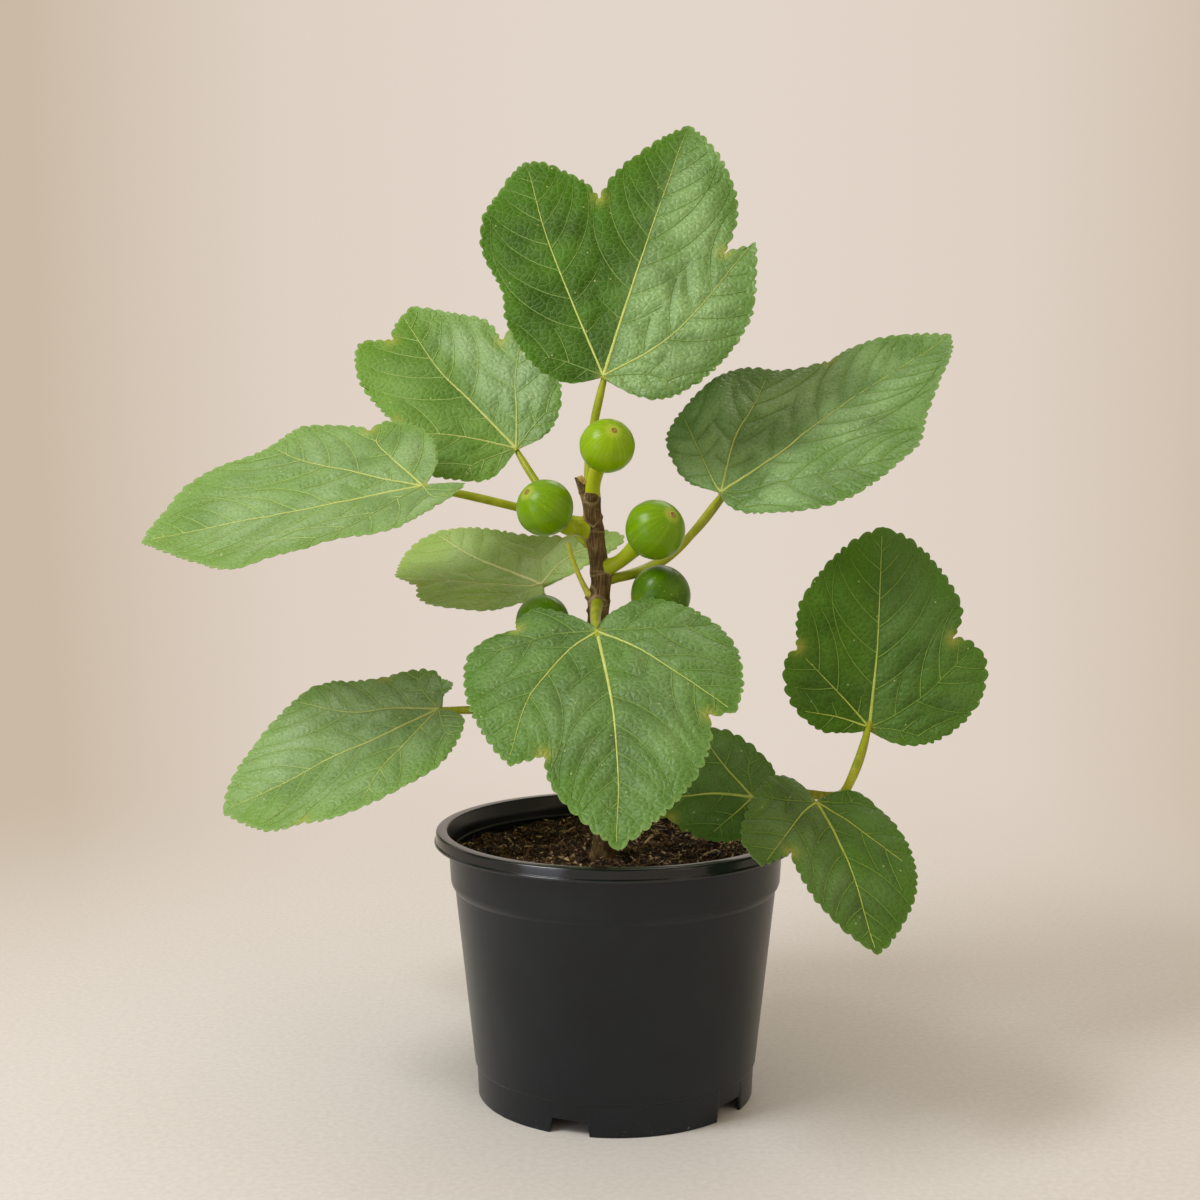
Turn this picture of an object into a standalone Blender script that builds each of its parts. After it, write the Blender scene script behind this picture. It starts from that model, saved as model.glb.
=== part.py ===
"""Potted fig tree: a young fig with lobed leaves and green figs, in a moulded nursery pot.

Metres, +Z up. The origin is on the underside of the pot, on the pot's axis. The front of the
plant faces -Y. Every piece is one closed solid, and pieces that touch keep a gap of 0.3 mm.
"""

import math

import bmesh
import bpy
import numpy as np
from mathutils import Euler, Vector

MM = 0.001
GAP = 0.3 * MM

# A direction that no limb runs along, from which each limb's first ring is turned.
OFF_LINE = (0.31, 0.95, 0.05)

# Pot: a thin moulded shell with a flat lip, a collar, a tapering body and a notched foot.
POT_SIDES = 60
WALL = 2.0 * MM
LIP_RADIUS = 120 * MM
LIP_INNER_RADIUS = 111.6 * MM
LIP_TOP = 178 * MM
LIP_BOTTOM = 171.8 * MM
LIP_ROUNDING = 1.2 * MM
COLLAR_TOP_RADIUS = 110.6 * MM
COLLAR_RADIUS = 109.2 * MM
COLLAR_BOTTOM = 144.6 * MM
BODY_TOP_RADIUS = 106.4 * MM
BODY_TOP = 139.2 * MM
BODY_BOTTOM_RADIUS = 93.9 * MM
BODY_BOTTOM = 20.8 * MM
FOOT_STEP = 1.2 * MM
FOOT_RADIUS = 91.8 * MM
PLATE_BOTTOM = 11.5 * MM
PLATE_TOP = 13.5 * MM
BOSS_RADIUS = 12 * MM
BOSS_TAPER = 1.5 * MM
COLLAR_CHAMFER = (0.8 * MM, 2.6 * MM)
NOTCH_COUNT = 5
NOTCH_FIRST_ANGLE = math.radians(-108.9)
NOTCH_TOP_WIDTH = 23 * MM
NOTCH_FOOT_WIDTH = 27 * MM
NOTCH_HEIGHT = 9.8 * MM
NOTCH_REACH = 8 * MM
DRAIN_RADIUS = 6 * MM
DRAIN_CIRCLE = 72 * MM
DRAIN_REACH = 4 * MM
DRAIN_SIDES = 12

# Potting soil fills the pot to a little under the lip, with a low mound round the trunk.
SOIL_EDGE_LEVEL = 160 * MM
SOIL_LEVEL = 161.5 * MM
SOIL_RING_SHARES = (0.45, 0.8)

# Trunk: its centre line from the soil to the top node, as (x, y, height, radius) in mm.
TRUNK_LINE = (
    (-9.0, -24.0, 161.8, 6.0),
    (-9.0, -24.3, 180.0, 5.9),
    (-11.5, -25.5, 230.0, 6.4),
    (-12.5, -26.5, 280.0, 6.7),
    (-11.0, -27.0, 326.0, 6.6),
    (-9.6, -27.5, 345.0, 6.1),
    (-12.1, -27.5, 365.0, 5.8),
    (-14.7, -27.5, 384.0, 5.7),
    (-15.9, -27.5, 398.5, 5.5),
)
TRUNK_SIDES = 18
TRUNK_RINGS = 26
FLARE = 3.2 * MM
FLARE_HEIGHT = 8 * MM
FLARE_ROOTS = 5
FLARE_WAVE = 0.45
NODE_HEIGHTS = (207, 259, 286, 313, 331, 350, 377, 396)
NODE_SWELL = 0.9 * MM
NODE_HALF_HEIGHT = 4 * MM
STUB_FOOT = (-17.4, -28.0, 394.0)
STUB_TIP = (-23.6, -27.4, 411.5)
STUB_RADII = (3.8 * MM, 3.2 * MM, 3.0 * MM)
STUB_SIDES = 10

# The low side bough leaves the trunk at this height and carries three leaves past the rim.
BOUGH_HEIGHT = 207 * MM
BOUGH_LINE = (
    (20.0, -31.0, 207.5, 4.4),
    (60.0, -33.5, 210.5, 3.9),
    (105.0, -32.5, 209.5, 3.5),
    (146.0, -30.0, 205.5, 3.0),
)
BOUGH_WAY = (1.0, -0.2, 0.0)
BOUGH_RADIUS = 5.0 * MM
BOUGH_SIDES = 10
BOUGH_RINGS = 11
BOUGH_GAP = 0.9 * MM

# Leaves: blade thickness, stalk radii and how finely the outline is drawn.
BLADE_THICKNESS = 2.2 * MM
BLADE_RINGS = (0.5, 1.0)
STEPS_PER_KNOT = 2
BLADE_HALF_WIDTH = 80 * MM
STALK_SIDES = 8
STALK_RINGS = 8
STALK_ROOT_RADIUS = 3.3 * MM
STALK_RADIUS = 2.7 * MM
STALK_SINK = 5 * MM

# Leaf outlines: knots as (degrees from the midrib, mm from the stalk), positive on the leaf's
# left seen from above. A third entry marks a corner: the point of a lobe or the foot of a notch.
OUTLINES = {
    "top": (
        (0, 197, "point"), (8, 168), (14, 146), (18, 129, "notch"), (24, 146), (35, 167),
        (48, 149), (57, 125), (63, 92), (75, 73), (94, 47), (115, 26), (150, 5, "notch"),
        (-103, 36), (-84, 57), (-67, 79), (-53, 101), (-40, 118), (-31, 134, "point"),
        (-27, 114, "notch"), (-20, 147), (-10, 173),
    ),
    "upper left": (
        (0, 146, "point"), (7, 139), (12, 129, "notch"), (19, 144), (29, 126), (38, 99),
        (44, 84, "notch"), (58, 84), (74, 64), (91, 44), (112, 29), (150, 5, "notch"),
        (-98, 22), (-78, 41), (-60, 60), (-45, 84), (-34, 101, "point"), (-24, 86, "notch"),
        (-19, 108), (-9, 125),
    ),
    "far left": (
        (0, 184, "point"), (9, 167), (20, 147), (31, 133), (42, 102), (52, 78), (74, 60),
        (100, 39), (135, 29), (172, 27, "point"), (-165, 6, "notch"), (-112, 25), (-90, 56),
        (-73, 77), (-62, 76, "notch"), (-53, 101), (-44, 115), (-30, 127), (-22, 155),
        (-11, 171),
    ),
    "mid left": (
        (0, 122, "point"), (8, 112), (16, 106, "point"), (27, 84, "notch"), (40, 81),
        (55, 70), (76, 54), (96, 38), (125, 18), (-170, 5, "notch"), (-137, 24), (-127, 46),
        (-118, 67), (-104, 64), (-81, 47, "notch"), (-48, 55), (-32, 79), (-19, 108),
        (-9, 121),
    ),
    "lower left": (
        (0, 153, "point"), (9, 143), (19, 134), (26, 118, "notch"), (35, 109), (46, 92),
        (56, 77), (73, 60), (95, 39), (118, 24), (168, 6, "notch"), (-108, 29), (-82, 40),
        (-62, 50, "notch"), (-50, 68), (-42, 92), (-29, 108), (-19, 124), (-9, 141),
    ),
    "front": (
        (0, 160, "point"), (9, 147), (20, 132), (31, 114), (39, 97, "notch"),
        (46, 107, "point"), (60, 97), (78, 84), (102, 64), (128, 43), (144, 20),
        (180, 5, "notch"), (-137, 24), (-128, 46), (-114, 53), (-102, 50, "notch"),
        (-97, 67), (-84, 81), (-66, 90), (-45, 102), (-30, 114, "point"),
        (-22, 100, "notch"), (-16, 121), (-7, 142),
    ),
    "right": (
        (0, 197, "point"), (8, 174), (14, 152), (18, 131, "notch"), (32, 115), (48, 117),
        (64, 99), (84, 72), (104, 34), (150, 5, "notch"), (-103, 22), (-85, 46), (-69, 77),
        (-56, 99), (-38, 128), (-25, 140), (-14, 160), (-7, 180),
    ),
    "upright": (
        (0, 131, "point"), (9, 122), (21, 107), (34, 92), (46, 71, "notch"), (57, 70),
        (75, 56), (95, 35), (108, 14), (150, 4, "notch"), (-114, 25), (-94, 48), (-74, 73),
        (-57, 88), (-46, 87), (-40, 80, "notch"), (-34, 98), (-22, 111), (-10, 124),
    ),
    "lower right": (
        (0, 115, "point"), (9, 104), (26, 87), (44, 71), (62, 57), (84, 44), (108, 31),
        (160, 4, "notch"), (-161, 21), (-126, 31), (-92, 44), (-74, 61), (-60, 82),
        (-47, 86, "point"), (-40, 62, "notch"), (-31, 76), (-18, 92), (-7, 106),
    ),
    "inner right": (
        (0, 88, "point"), (12, 68), (20, 55, "notch"), (33, 49), (52, 41), (76, 32),
        (100, 18), (150, 4, "notch"), (-128, 22), (-92, 32), (-68, 49), (-50, 60, "point"),
        (-38, 50, "notch"), (-24, 66), (-10, 78),
    ),
}

# Leaves: where the stalk meets the blade (mm), the way the midrib points (degrees round from
# +X and up), the roll about it, the fall of the midrib to its tip, the rise of each half
# blade beside it and how far that turns down again by the edge. The stalk starts on the trunk
# at a height (mm) and a side (degrees round from +X), or on the bough at a share of its length
# and a side (degrees from straight up, to the back).
LEAVES = {
    "leaf_top": dict(
        outline="top", at=(-8, -20, 475), heading=48, rise=65, roll=32, bend=12, fold=6, sag=10,
        root=("trunk", 396, 100), root_lift=2.0, root_pull=40, blade_pull=26, blade_drop=0.56,
    ),
    "leaf_upper_left": dict(
        outline="upper left", at=(-66, 30, 428), heading=140, rise=46, roll=-45, bend=12, fold=8,
        sag=12, root=("trunk", 369, 140), root_lift=0.5, root_pull=20, blade_pull=30,
        blade_drop=0.2,
    ),
    "leaf_far_left": dict(
        outline="far left", at=(-121, -50, 406), heading=179, rise=-7, roll=-30, bend=10, fold=9,
        sag=6, root=("trunk", 382, 172), root_lift=0.2, root_pull=48, blade_pull=28,
        blade_drop=0.2,
    ),
    "leaf_mid_left": dict(
        outline="mid left", at=(-50, 30, 337), heading=149, rise=9, roll=-28, bend=10, fold=12,
        sag=6, root=("trunk", 298, 125), root_lift=0.1, root_pull=16, blade_pull=14,
        blade_drop=1.1,
    ),
    "leaf_lower_left": dict(
        outline="lower left", at=(-115, -20, 260), heading=-167, rise=-19, roll=-29, bend=14,
        fold=10, sag=10, root=("trunk", 259, 178), root_lift=0.0, root_pull=40, blade_pull=30,
        blade_drop=0.25,
    ),
    "leaf_front": dict(
        outline="front", at=(-12, -85, 318), heading=-86, rise=-33, roll=7, bend=22, fold=4,
        sag=14, root=("trunk", 328, -100), root_lift=0.1, root_pull=14, blade_pull=18,
        blade_drop=0.1,
    ),
    "leaf_right": dict(
        outline="right", at=(69, 0, 400), heading=16, rise=36, roll=29, bend=10, fold=8, sag=10,
        root=("trunk", 346, 12), root_lift=0.1, root_pull=40, blade_pull=36, blade_drop=0.4,
    ),
    "leaf_upright": dict(
        outline="upright", at=(165, -20, 248), heading=71, rise=79, roll=22, bend=-10, fold=8,
        sag=12, root=("bough", 1.0, -50), root_lift=-0.5, root_pull=23, blade_pull=18,
        blade_drop=-0.5,
    ),
    "leaf_lower_right": dict(
        outline="lower right", at=(125, -70, 209), heading=-70, rise=-31, roll=-11, bend=20,
        fold=6, sag=10, root=("bough", 0.8, -70), root_lift=0.0, root_pull=10, blade_pull=10,
        blade_drop=0.25,
    ),
    "leaf_inner_right": dict(
        outline="inner right", at=(87, -50, 208), heading=180, rise=5, roll=-52, bend=14, fold=6,
        sag=10, root=("bough", 0.62, -80), root_lift=0.0, root_pull=5, blade_pull=4,
        blade_drop=0.25,
    ),
    "leaf_back_top": dict(
        outline="lower left", at=(-6.5, 58, 478), heading=72, rise=38, roll=0, bend=26, fold=8,
        sag=12, root=("trunk", 382, 99), root_lift=0.8, root_pull=13, blade_pull=72,
        blade_drop=0.14,
    ),
    "leaf_back_low": dict(
        outline="front", at=(-3, 78, 290), heading=84, rise=-22, roll=4, bend=26, fold=6, sag=12,
        root=("trunk", 286, 88), root_lift=0.4, root_pull=35, blade_pull=30, blade_drop=0.25,
    ),
    "leaf_back_right": dict(
        outline="lower right", at=(80, 88, 404), heading=38, rise=18, roll=10, bend=22, fold=8,
        sag=10, root=("trunk", 343, 66), root_lift=0.9, root_pull=9, blade_pull=62,
        blade_drop=0.85,
    ),
    "leaf_back_left": dict(
        outline="upright", at=(-143, 92, 240), heading=150, rise=-6, roll=-10, bend=26, fold=8,
        sag=10, root=("trunk", 250, 128), root_lift=0.48, root_pull=24, blade_pull=5,
        blade_drop=-0.27,
    ),
    "leaf_bough_back": dict(
        outline="lower right", at=(172.5, 35, 247), heading=78, rise=26, roll=6, bend=24,
        fold=8, sag=10, root=("bough", 1.0, 90), root_lift=-0.3, root_pull=5, blade_pull=38,
        blade_drop=0.5,
    ),
}

# The stalk of a leaf that has dropped: a thin stub on the left of the trunk. The pulls bend it
# out of the trunk and then up.
BARE_STALK_HEIGHT = 336
BARE_STALK_SIDE = 196
BARE_STALK_TIP = (-30.5, -33.0, 369.5)
BARE_STALK_PULLS = (4 * MM, 12 * MM)
BARE_STALK_RADII = (2.0 * MM, 1.6 * MM)
BARE_STALK_RINGS = 6

# Figs: the centre (mm), the radius (mm), the way the eye points, and the trunk height (mm)
# and side (degrees) that the neck grows from.
FIGS = {
    "fig_top": dict(at=(-5.8, -54, 431), radius=17.2, eye=(0.24, -0.78, 0.58), root=(400, -85)),
    "fig_left": dict(
        at=(-44.4, -58, 392.6), radius=17.9, eye=(-0.62, -0.52, 0.58), root=(377, -140)
    ),
    "fig_right": dict(
        at=(24.2, -54, 378.7), radius=18.9, eye=(0.56, -0.62, 0.55), root=(353, -42)
    ),
    "fig_low_right": dict(
        at=(28.1, -41, 336.2), radius=19.3, eye=(0.66, -0.40, 0.63), root=(312, -30)
    ),
    "fig_low_left": dict(
        at=(-46.4, -42, 319.5), radius=17.3, eye=(-0.70, -0.30, 0.65), root=(300, 205)
    ),
    "fig_back": dict(at=(2, 14, 276), radius=16.5, eye=(0.30, 0.85, 0.42), root=(268, 75)),
}
FIG_SIDES = 14
FIG_NECK_RADIUS = 4.6 * MM
FIG_NECK_RINGS = 4
FIG_NECK_PULLS = (0.35, 0.4)
FIG_NECK_JOIN = 1.15
FIG_FOOT_DEPTH = 0.98
FIG_BODY_RINGS = 9
FIG_EYE_RADIUS = 1.8 * MM
FIG_EYE_HEIGHT = 1.0 * MM


def srgb(red, green, blue):
    """Turn an sRGB colour of 0 to 255 into the linear RGBA that a shader takes."""
    def linear(value):
        share = value / 255
        return share / 12.92 if share <= 0.04045 else ((share + 0.055) / 1.055) ** 2.4

    return (linear(red), linear(green), linear(blue), 1.0)


def finish(name, colour, roughness):
    """Make a plain Principled material."""
    material = bpy.data.materials.new(name)
    material.use_nodes = True
    shader = material.node_tree.nodes["Principled BSDF"]
    shader.inputs["Base Color"].default_value = srgb(*colour)
    shader.inputs["Roughness"].default_value = roughness
    shader.inputs["Metallic"].default_value = 0.0
    return material


def add_object(name, mesh, material, smooth_under=40):
    """Put a mesh in the scene as a named object with one material, shaded smooth."""
    mesh.shade_smooth()
    mesh.set_sharp_from_angle(angle=math.radians(smooth_under))
    mesh.materials.clear()
    mesh.materials.append(material)
    piece = bpy.data.objects.new(name, mesh)
    bpy.context.scene.collection.objects.link(piece)
    return piece


def mesh_from(name, points, faces):
    """Make a mesh whose faces point outwards from points and faces."""
    mesh = bpy.data.meshes.new(name)
    mesh.from_pydata([tuple(map(float, point)) for point in points], [], faces)
    work = bmesh.new()
    work.from_mesh(mesh)
    bmesh.ops.recalc_face_normals(work, faces=work.faces)
    work.to_mesh(mesh)
    work.free()
    return mesh


def turned(name, profile, sides, material):
    """Turn a profile of (radius, height) about the Z axis into one closed solid."""
    work = bmesh.new()
    corners = [work.verts.new((radius, 0, height)) for radius, height in profile]
    edges = [work.edges.new(pair) for pair in zip(corners, corners[1:])]
    bmesh.ops.spin(
        work, geom=corners + edges, cent=(0, 0, 0), axis=(0, 0, 1),
        angle=2 * math.pi, steps=sides, use_merge=True,
    )
    bmesh.ops.remove_doubles(work, verts=work.verts, dist=0.01 * MM)
    bmesh.ops.recalc_face_normals(work, faces=work.faces)
    mesh = bpy.data.meshes.new(name)
    work.to_mesh(mesh)
    work.free()
    return add_object(name, mesh, material)


def fuse(name, pieces, material):
    """Join pieces into one solid with a Boolean union, and remove the pieces."""
    group = bpy.data.collections.new(name + "_pieces")
    bpy.context.scene.collection.children.link(group)
    for piece in pieces[1:]:
        bpy.context.scene.collection.objects.unlink(piece)
        group.objects.link(piece)
    union = pieces[0].modifiers.new("union", "BOOLEAN")
    union.operation = "UNION"
    union.operand_type = "COLLECTION"
    union.collection = group
    graph = bpy.context.evaluated_depsgraph_get()
    mesh = bpy.data.meshes.new_from_object(pieces[0].evaluated_get(graph))
    mesh.name = name
    place = pieces[0].matrix_world.copy()
    for piece in pieces:
        bpy.data.objects.remove(piece)
    bpy.data.collections.remove(group)
    fused = add_object(name, mesh, material)
    fused.matrix_world = place
    return fused


def smooth_line(points, count):
    """Points on a Catmull-Rom curve through given rows, evenly spaced in the parameter."""
    rows = np.asarray(points, float)
    ends = np.vstack([2 * rows[0] - rows[1], rows, 2 * rows[-1] - rows[-2]])
    place = np.linspace(0, len(rows) - 1, count)
    span = np.minimum(place.astype(int), len(rows) - 2)
    t = (place - span)[:, None]
    a, b, c, d = (ends[span + step] for step in range(4))
    return 0.5 * (
        2 * b + (c - a) * t + (2 * a - 5 * b + 4 * c - d) * t**2 + (3 * b - a - 3 * c + d) * t**3
    )


def bent_line(start, start_pull, end, end_pull, count):
    """Points on a cubic Bezier curve that leaves and arrives along the two pulls."""
    start, end = np.asarray(start, float), np.asarray(end, float)
    first, second = start + np.asarray(start_pull), end + np.asarray(end_pull)
    t = np.linspace(0, 1, count)[:, None]
    return (
        (1 - t) ** 3 * start + 3 * (1 - t) ** 2 * t * first
        + 3 * (1 - t) * t**2 * second + t**3 * end
    )


def limb_mesh(name, line, radii, sides, first_axis=None):
    """A closed limb: rings of the given radii carried along a line without twisting.

    radii holds one row for each ring, with one value or one for each side.
    """
    line = np.asarray(line, float)
    along = np.gradient(line, axis=0)
    along /= np.linalg.norm(along, axis=1)[:, None]
    if first_axis is not None:
        along[0] = first_axis
    across = np.cross(along[0], OFF_LINE)
    rings = []
    turns = np.linspace(0, 2 * math.pi, sides, endpoint=False)
    for centre, way, radius in zip(line, along, radii):
        across = across - way * across.dot(way)
        across /= np.linalg.norm(across)
        upward = np.cross(way, across)
        spread = np.outer(np.cos(turns), across) + np.outer(np.sin(turns), upward)
        rings.append(centre + spread * np.reshape(radius, (-1, 1)))
    count = len(rings)
    faces = [tuple(reversed(range(sides))), tuple((count - 1) * sides + k for k in range(sides))]
    for ring in range(count - 1):
        for k in range(sides):
            right = (k + 1) % sides
            low, high = ring * sides, (ring + 1) * sides
            faces.append((low + k, low + right, high + right, high + k))
    return mesh_from(name, np.vstack(rings), faces)


def pot_profile():
    """The pot's section from its axis underneath, up the outside and down the inside."""
    inner_foot = FOOT_RADIUS - WALL
    body_inner_bottom = BODY_BOTTOM_RADIUS - FOOT_STEP - WALL
    return (
        (0, 0),
        (BOSS_RADIUS, 0),
        (BOSS_RADIUS + BOSS_TAPER, PLATE_BOTTOM),
        (inner_foot, PLATE_BOTTOM),
        (inner_foot, 0),
        (FOOT_RADIUS, 0),
        (BODY_BOTTOM_RADIUS - FOOT_STEP, BODY_BOTTOM),
        (BODY_BOTTOM_RADIUS, BODY_BOTTOM + FOOT_STEP),
        (BODY_TOP_RADIUS, BODY_TOP),
        (COLLAR_RADIUS - COLLAR_CHAMFER[0], COLLAR_BOTTOM - COLLAR_CHAMFER[1]),
        (COLLAR_RADIUS, COLLAR_BOTTOM),
        (COLLAR_TOP_RADIUS, LIP_BOTTOM),
        (LIP_RADIUS - LIP_ROUNDING, LIP_BOTTOM),
        (LIP_RADIUS, LIP_BOTTOM + LIP_ROUNDING),
        (LIP_RADIUS, LIP_TOP - LIP_ROUNDING),
        (LIP_RADIUS - LIP_ROUNDING, LIP_TOP),
        (LIP_INNER_RADIUS, LIP_TOP),
        (COLLAR_TOP_RADIUS - WALL, LIP_BOTTOM),
        (COLLAR_RADIUS - WALL, COLLAR_BOTTOM),
        (BODY_TOP_RADIUS - WALL, BODY_TOP),
        (body_inner_bottom, BODY_BOTTOM),
        (body_inner_bottom, PLATE_TOP),
        (0, PLATE_TOP),
    )


def notch_cutter(angle):
    """A wedge that cuts one foot notch: wider at the foot than at its top."""
    points = []
    for reach in (FOOT_RADIUS - NOTCH_REACH, FOOT_RADIUS + NOTCH_REACH):
        for height, width in ((-WALL, NOTCH_FOOT_WIDTH), (NOTCH_HEIGHT, NOTCH_TOP_WIDTH)):
            points += [(reach, -width / 2, height), (reach, width / 2, height)]
    faces = [(0, 1, 3, 2), (4, 6, 7, 5), (0, 4, 5, 1), (2, 3, 7, 6), (0, 2, 6, 4), (1, 5, 7, 3)]
    cutter = bpy.data.objects.new("notch", mesh_from("notch", points, faces))
    cutter.rotation_euler = (0, 0, angle)
    return cutter


def drain_cutter(angle):
    """A round hole through the base plate, inside one foot notch."""
    work = bmesh.new()
    bmesh.ops.create_cone(
        work, cap_ends=True, segments=DRAIN_SIDES, radius1=DRAIN_RADIUS,
        radius2=DRAIN_RADIUS, depth=2 * DRAIN_REACH,
    )
    mesh = bpy.data.meshes.new("drain")
    work.to_mesh(mesh)
    work.free()
    cutter = bpy.data.objects.new("drain", mesh)
    middle = (PLATE_BOTTOM + PLATE_TOP) / 2
    cutter.location = (DRAIN_CIRCLE * math.cos(angle), DRAIN_CIRCLE * math.sin(angle), middle)
    return cutter


def build_pot():
    """The pot, with its foot notches and drain holes cut by hidden cutters."""
    plastic = finish("moulded polypropylene", (38, 39, 41), 0.45)
    pot = turned("pot", pot_profile(), POT_SIDES, plastic)
    cutters = bpy.data.collections.new("pot_cutters")
    bpy.context.scene.collection.children.link(cutters)
    for number in range(NOTCH_COUNT):
        angle = NOTCH_FIRST_ANGLE + number * 2 * math.pi / NOTCH_COUNT
        for cutter in (notch_cutter(angle), drain_cutter(angle)):
            cutter.hide_render = True
            cutter.display_type = "WIRE"
            cutters.objects.link(cutter)
    cut = pot.modifiers.new("notches and drains", "BOOLEAN")
    cut.operation = "DIFFERENCE"
    cut.operand_type = "COLLECTION"
    cut.collection = cutters


def build_soil():
    """Soil that follows the inside of the pot, with a low mound towards the trunk."""
    earth = finish("damp bark compost", (48, 34, 25), 0.95)
    floor = PLATE_TOP + GAP
    foot = BODY_BOTTOM_RADIUS - FOOT_STEP - WALL - GAP
    collar_share = (SOIL_EDGE_LEVEL - COLLAR_BOTTOM) / (LIP_BOTTOM - COLLAR_BOTTOM)
    edge = COLLAR_RADIUS + collar_share * (COLLAR_TOP_RADIUS - COLLAR_RADIUS) - WALL - GAP
    profile = [
        (0, floor), (foot, floor), (foot, BODY_BOTTOM),
        (BODY_TOP_RADIUS - WALL - GAP, BODY_TOP), (COLLAR_RADIUS - WALL - GAP, COLLAR_BOTTOM),
        (edge, SOIL_EDGE_LEVEL),
    ]
    for share in reversed(SOIL_RING_SHARES):
        rise = (1 - share) * (SOIL_LEVEL - SOIL_EDGE_LEVEL) / (1 - SOIL_RING_SHARES[0])
        profile.append((edge * share, SOIL_EDGE_LEVEL + rise))
    profile.append((0, SOIL_LEVEL))
    turned("soil", profile, POT_SIDES, earth)


def trunk_at(height):
    """The trunk's centre point and radius at a height in metres."""
    rows = np.asarray(TRUNK_LINE) * MM
    centre = [np.interp(height, rows[:, 2], rows[:, axis]) for axis in (0, 1)]
    return np.array([*centre, height]), np.interp(height, rows[:, 2], rows[:, 3])


def build_trunk(bark):
    """The trunk with its root flare, swollen leaf nodes and the cut stub at its top."""
    rows = smooth_line(np.asarray(TRUNK_LINE) * MM, TRUNK_RINGS)
    low = rows[0, 2]
    turns = np.linspace(0, 2 * math.pi, TRUNK_SIDES, endpoint=False)
    radii = []
    for height, radius in zip(rows[:, 2], rows[:, 3]):
        swell = sum(
            NODE_SWELL * math.exp(-(((height - node * MM) / NODE_HALF_HEIGHT) ** 2))
            for node in NODE_HEIGHTS
        )
        flare = FLARE * math.exp(-(height - low) / FLARE_HEIGHT)
        radii.append(radius + swell + flare * (1 + FLARE_WAVE * np.cos(FLARE_ROOTS * turns)))
    stem = limb_mesh("stem", rows[:, :3], radii, TRUNK_SIDES, first_axis=(0, 0, 1))
    stub_line = np.linspace(STUB_FOOT, STUB_TIP, len(STUB_RADII)) * MM
    stub = limb_mesh("stub", stub_line, STUB_RADII, STUB_SIDES)
    fuse("trunk", [add_object("stem", stem, bark), add_object("stub", stub, bark)], bark)


def bough_rows():
    """The bough's centre line and radii, from just clear of the trunk to its tip."""
    centre, radius = trunk_at(BOUGH_HEIGHT)
    way = Vector(BOUGH_WAY).normalized()
    start = centre + np.array(way) * (radius + NODE_SWELL + GAP)
    first = np.append(start, BOUGH_RADIUS)
    return smooth_line(np.vstack([first, np.asarray(BOUGH_LINE) * MM]), BOUGH_RINGS), way


def build_bough(bark):
    """The low side bough: one tapering limb."""
    rows, way = bough_rows()
    mesh = limb_mesh("low_side_bough", rows[:, :3], rows[:, 3], BOUGH_SIDES, first_axis=way)
    add_object("low_side_bough", mesh, bark)


def stalk_root(limb, place, side):
    """Where a stalk starts, clear of its limb, and the way it leaves."""
    turn = math.radians(side)
    if limb == "trunk":
        centre, limb_radius = trunk_at(place * MM)
        out = np.array([math.cos(turn), math.sin(turn), 0.0])
        return centre + out * (limb_radius + NODE_SWELL + GAP), out
    rows, _ = bough_rows()
    centre_line = rows[:, :3]
    spot = place * (len(rows) - 1)
    centre = np.array([np.interp(spot, range(len(rows)), centre_line[:, k]) for k in range(3)])
    limb_radius = np.interp(spot, range(len(rows)), rows[:, 3])
    out = np.array([0.0, math.sin(turn), math.cos(turn)])
    return centre + out * (limb_radius + BOUGH_GAP), out


def outline_points(knots, steps):
    """A closed curve through knots in the leaf's plane, sharp at points and notches.

    Each span is a cubic whose slope at a smooth knot runs parallel to the line between the
    knots on either side, and at a corner leaves a little to the outside of the straight line.
    """
    angle = np.radians([knot[0] for knot in knots])
    reach = np.array([knot[1] for knot in knots]) * MM
    corner = np.array([len(knot) > 2 for knot in knots])[:, None]
    spot = np.stack([reach * np.cos(angle), reach * np.sin(angle)], axis=1)
    after = np.roll(spot, -1, axis=0) - spot
    before = np.roll(after, 1, axis=0)
    length = np.linalg.norm(after, axis=1)[:, None]
    slope = (after + before) / (length + np.roll(length, 1, axis=0))
    leaving = np.where(corner, 1.5 * after / length - 0.5 * np.roll(slope, -1, axis=0), slope)
    arriving = np.where(
        corner, 1.5 * before / np.roll(length, 1, axis=0) - 0.5 * np.roll(slope, 1, axis=0), slope
    )
    t = np.arange(steps) / steps
    h00, h10 = 2 * t**3 - 3 * t**2 + 1, t**3 - 2 * t**2 + t
    h01, h11 = 3 * t**2 - 2 * t**3, t**3 - t**2
    start, end = spot[:, None], np.roll(spot, -1, axis=0)[:, None]
    first = (leaving * length)[:, None]
    last = (np.roll(arriving, -1, axis=0) * length)[:, None]
    curve = (
        start * h00[None, :, None] + first * h10[None, :, None]
        + end * h01[None, :, None] + last * h11[None, :, None]
    )
    return curve.reshape(-1, 2)


def blade_surface(along, across, length, leaf):
    """Places on a curved blade: the midrib falls in an arc, and each half rises, then sags.

    along and across are distances in the flat leaf; the result is in the leaf's own frame.
    """
    fall = math.radians(leaf["bend"]) / length
    rise = math.radians(leaf["fold"])
    sag = math.radians(leaf["sag"]) / BLADE_HALF_WIDTH
    side = np.abs(across)
    out = (math.sin(rise) - np.sin(rise - sag * side)) / sag
    lift = (np.cos(rise - sag * side) - math.cos(rise)) / sag
    forward = np.sin(fall * along) / fall + lift * np.sin(fall * along)
    upward = -(1 - np.cos(fall * along)) / fall + lift * np.cos(fall * along)
    return np.stack([forward, np.sign(across) * out, upward], axis=-1)


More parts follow.
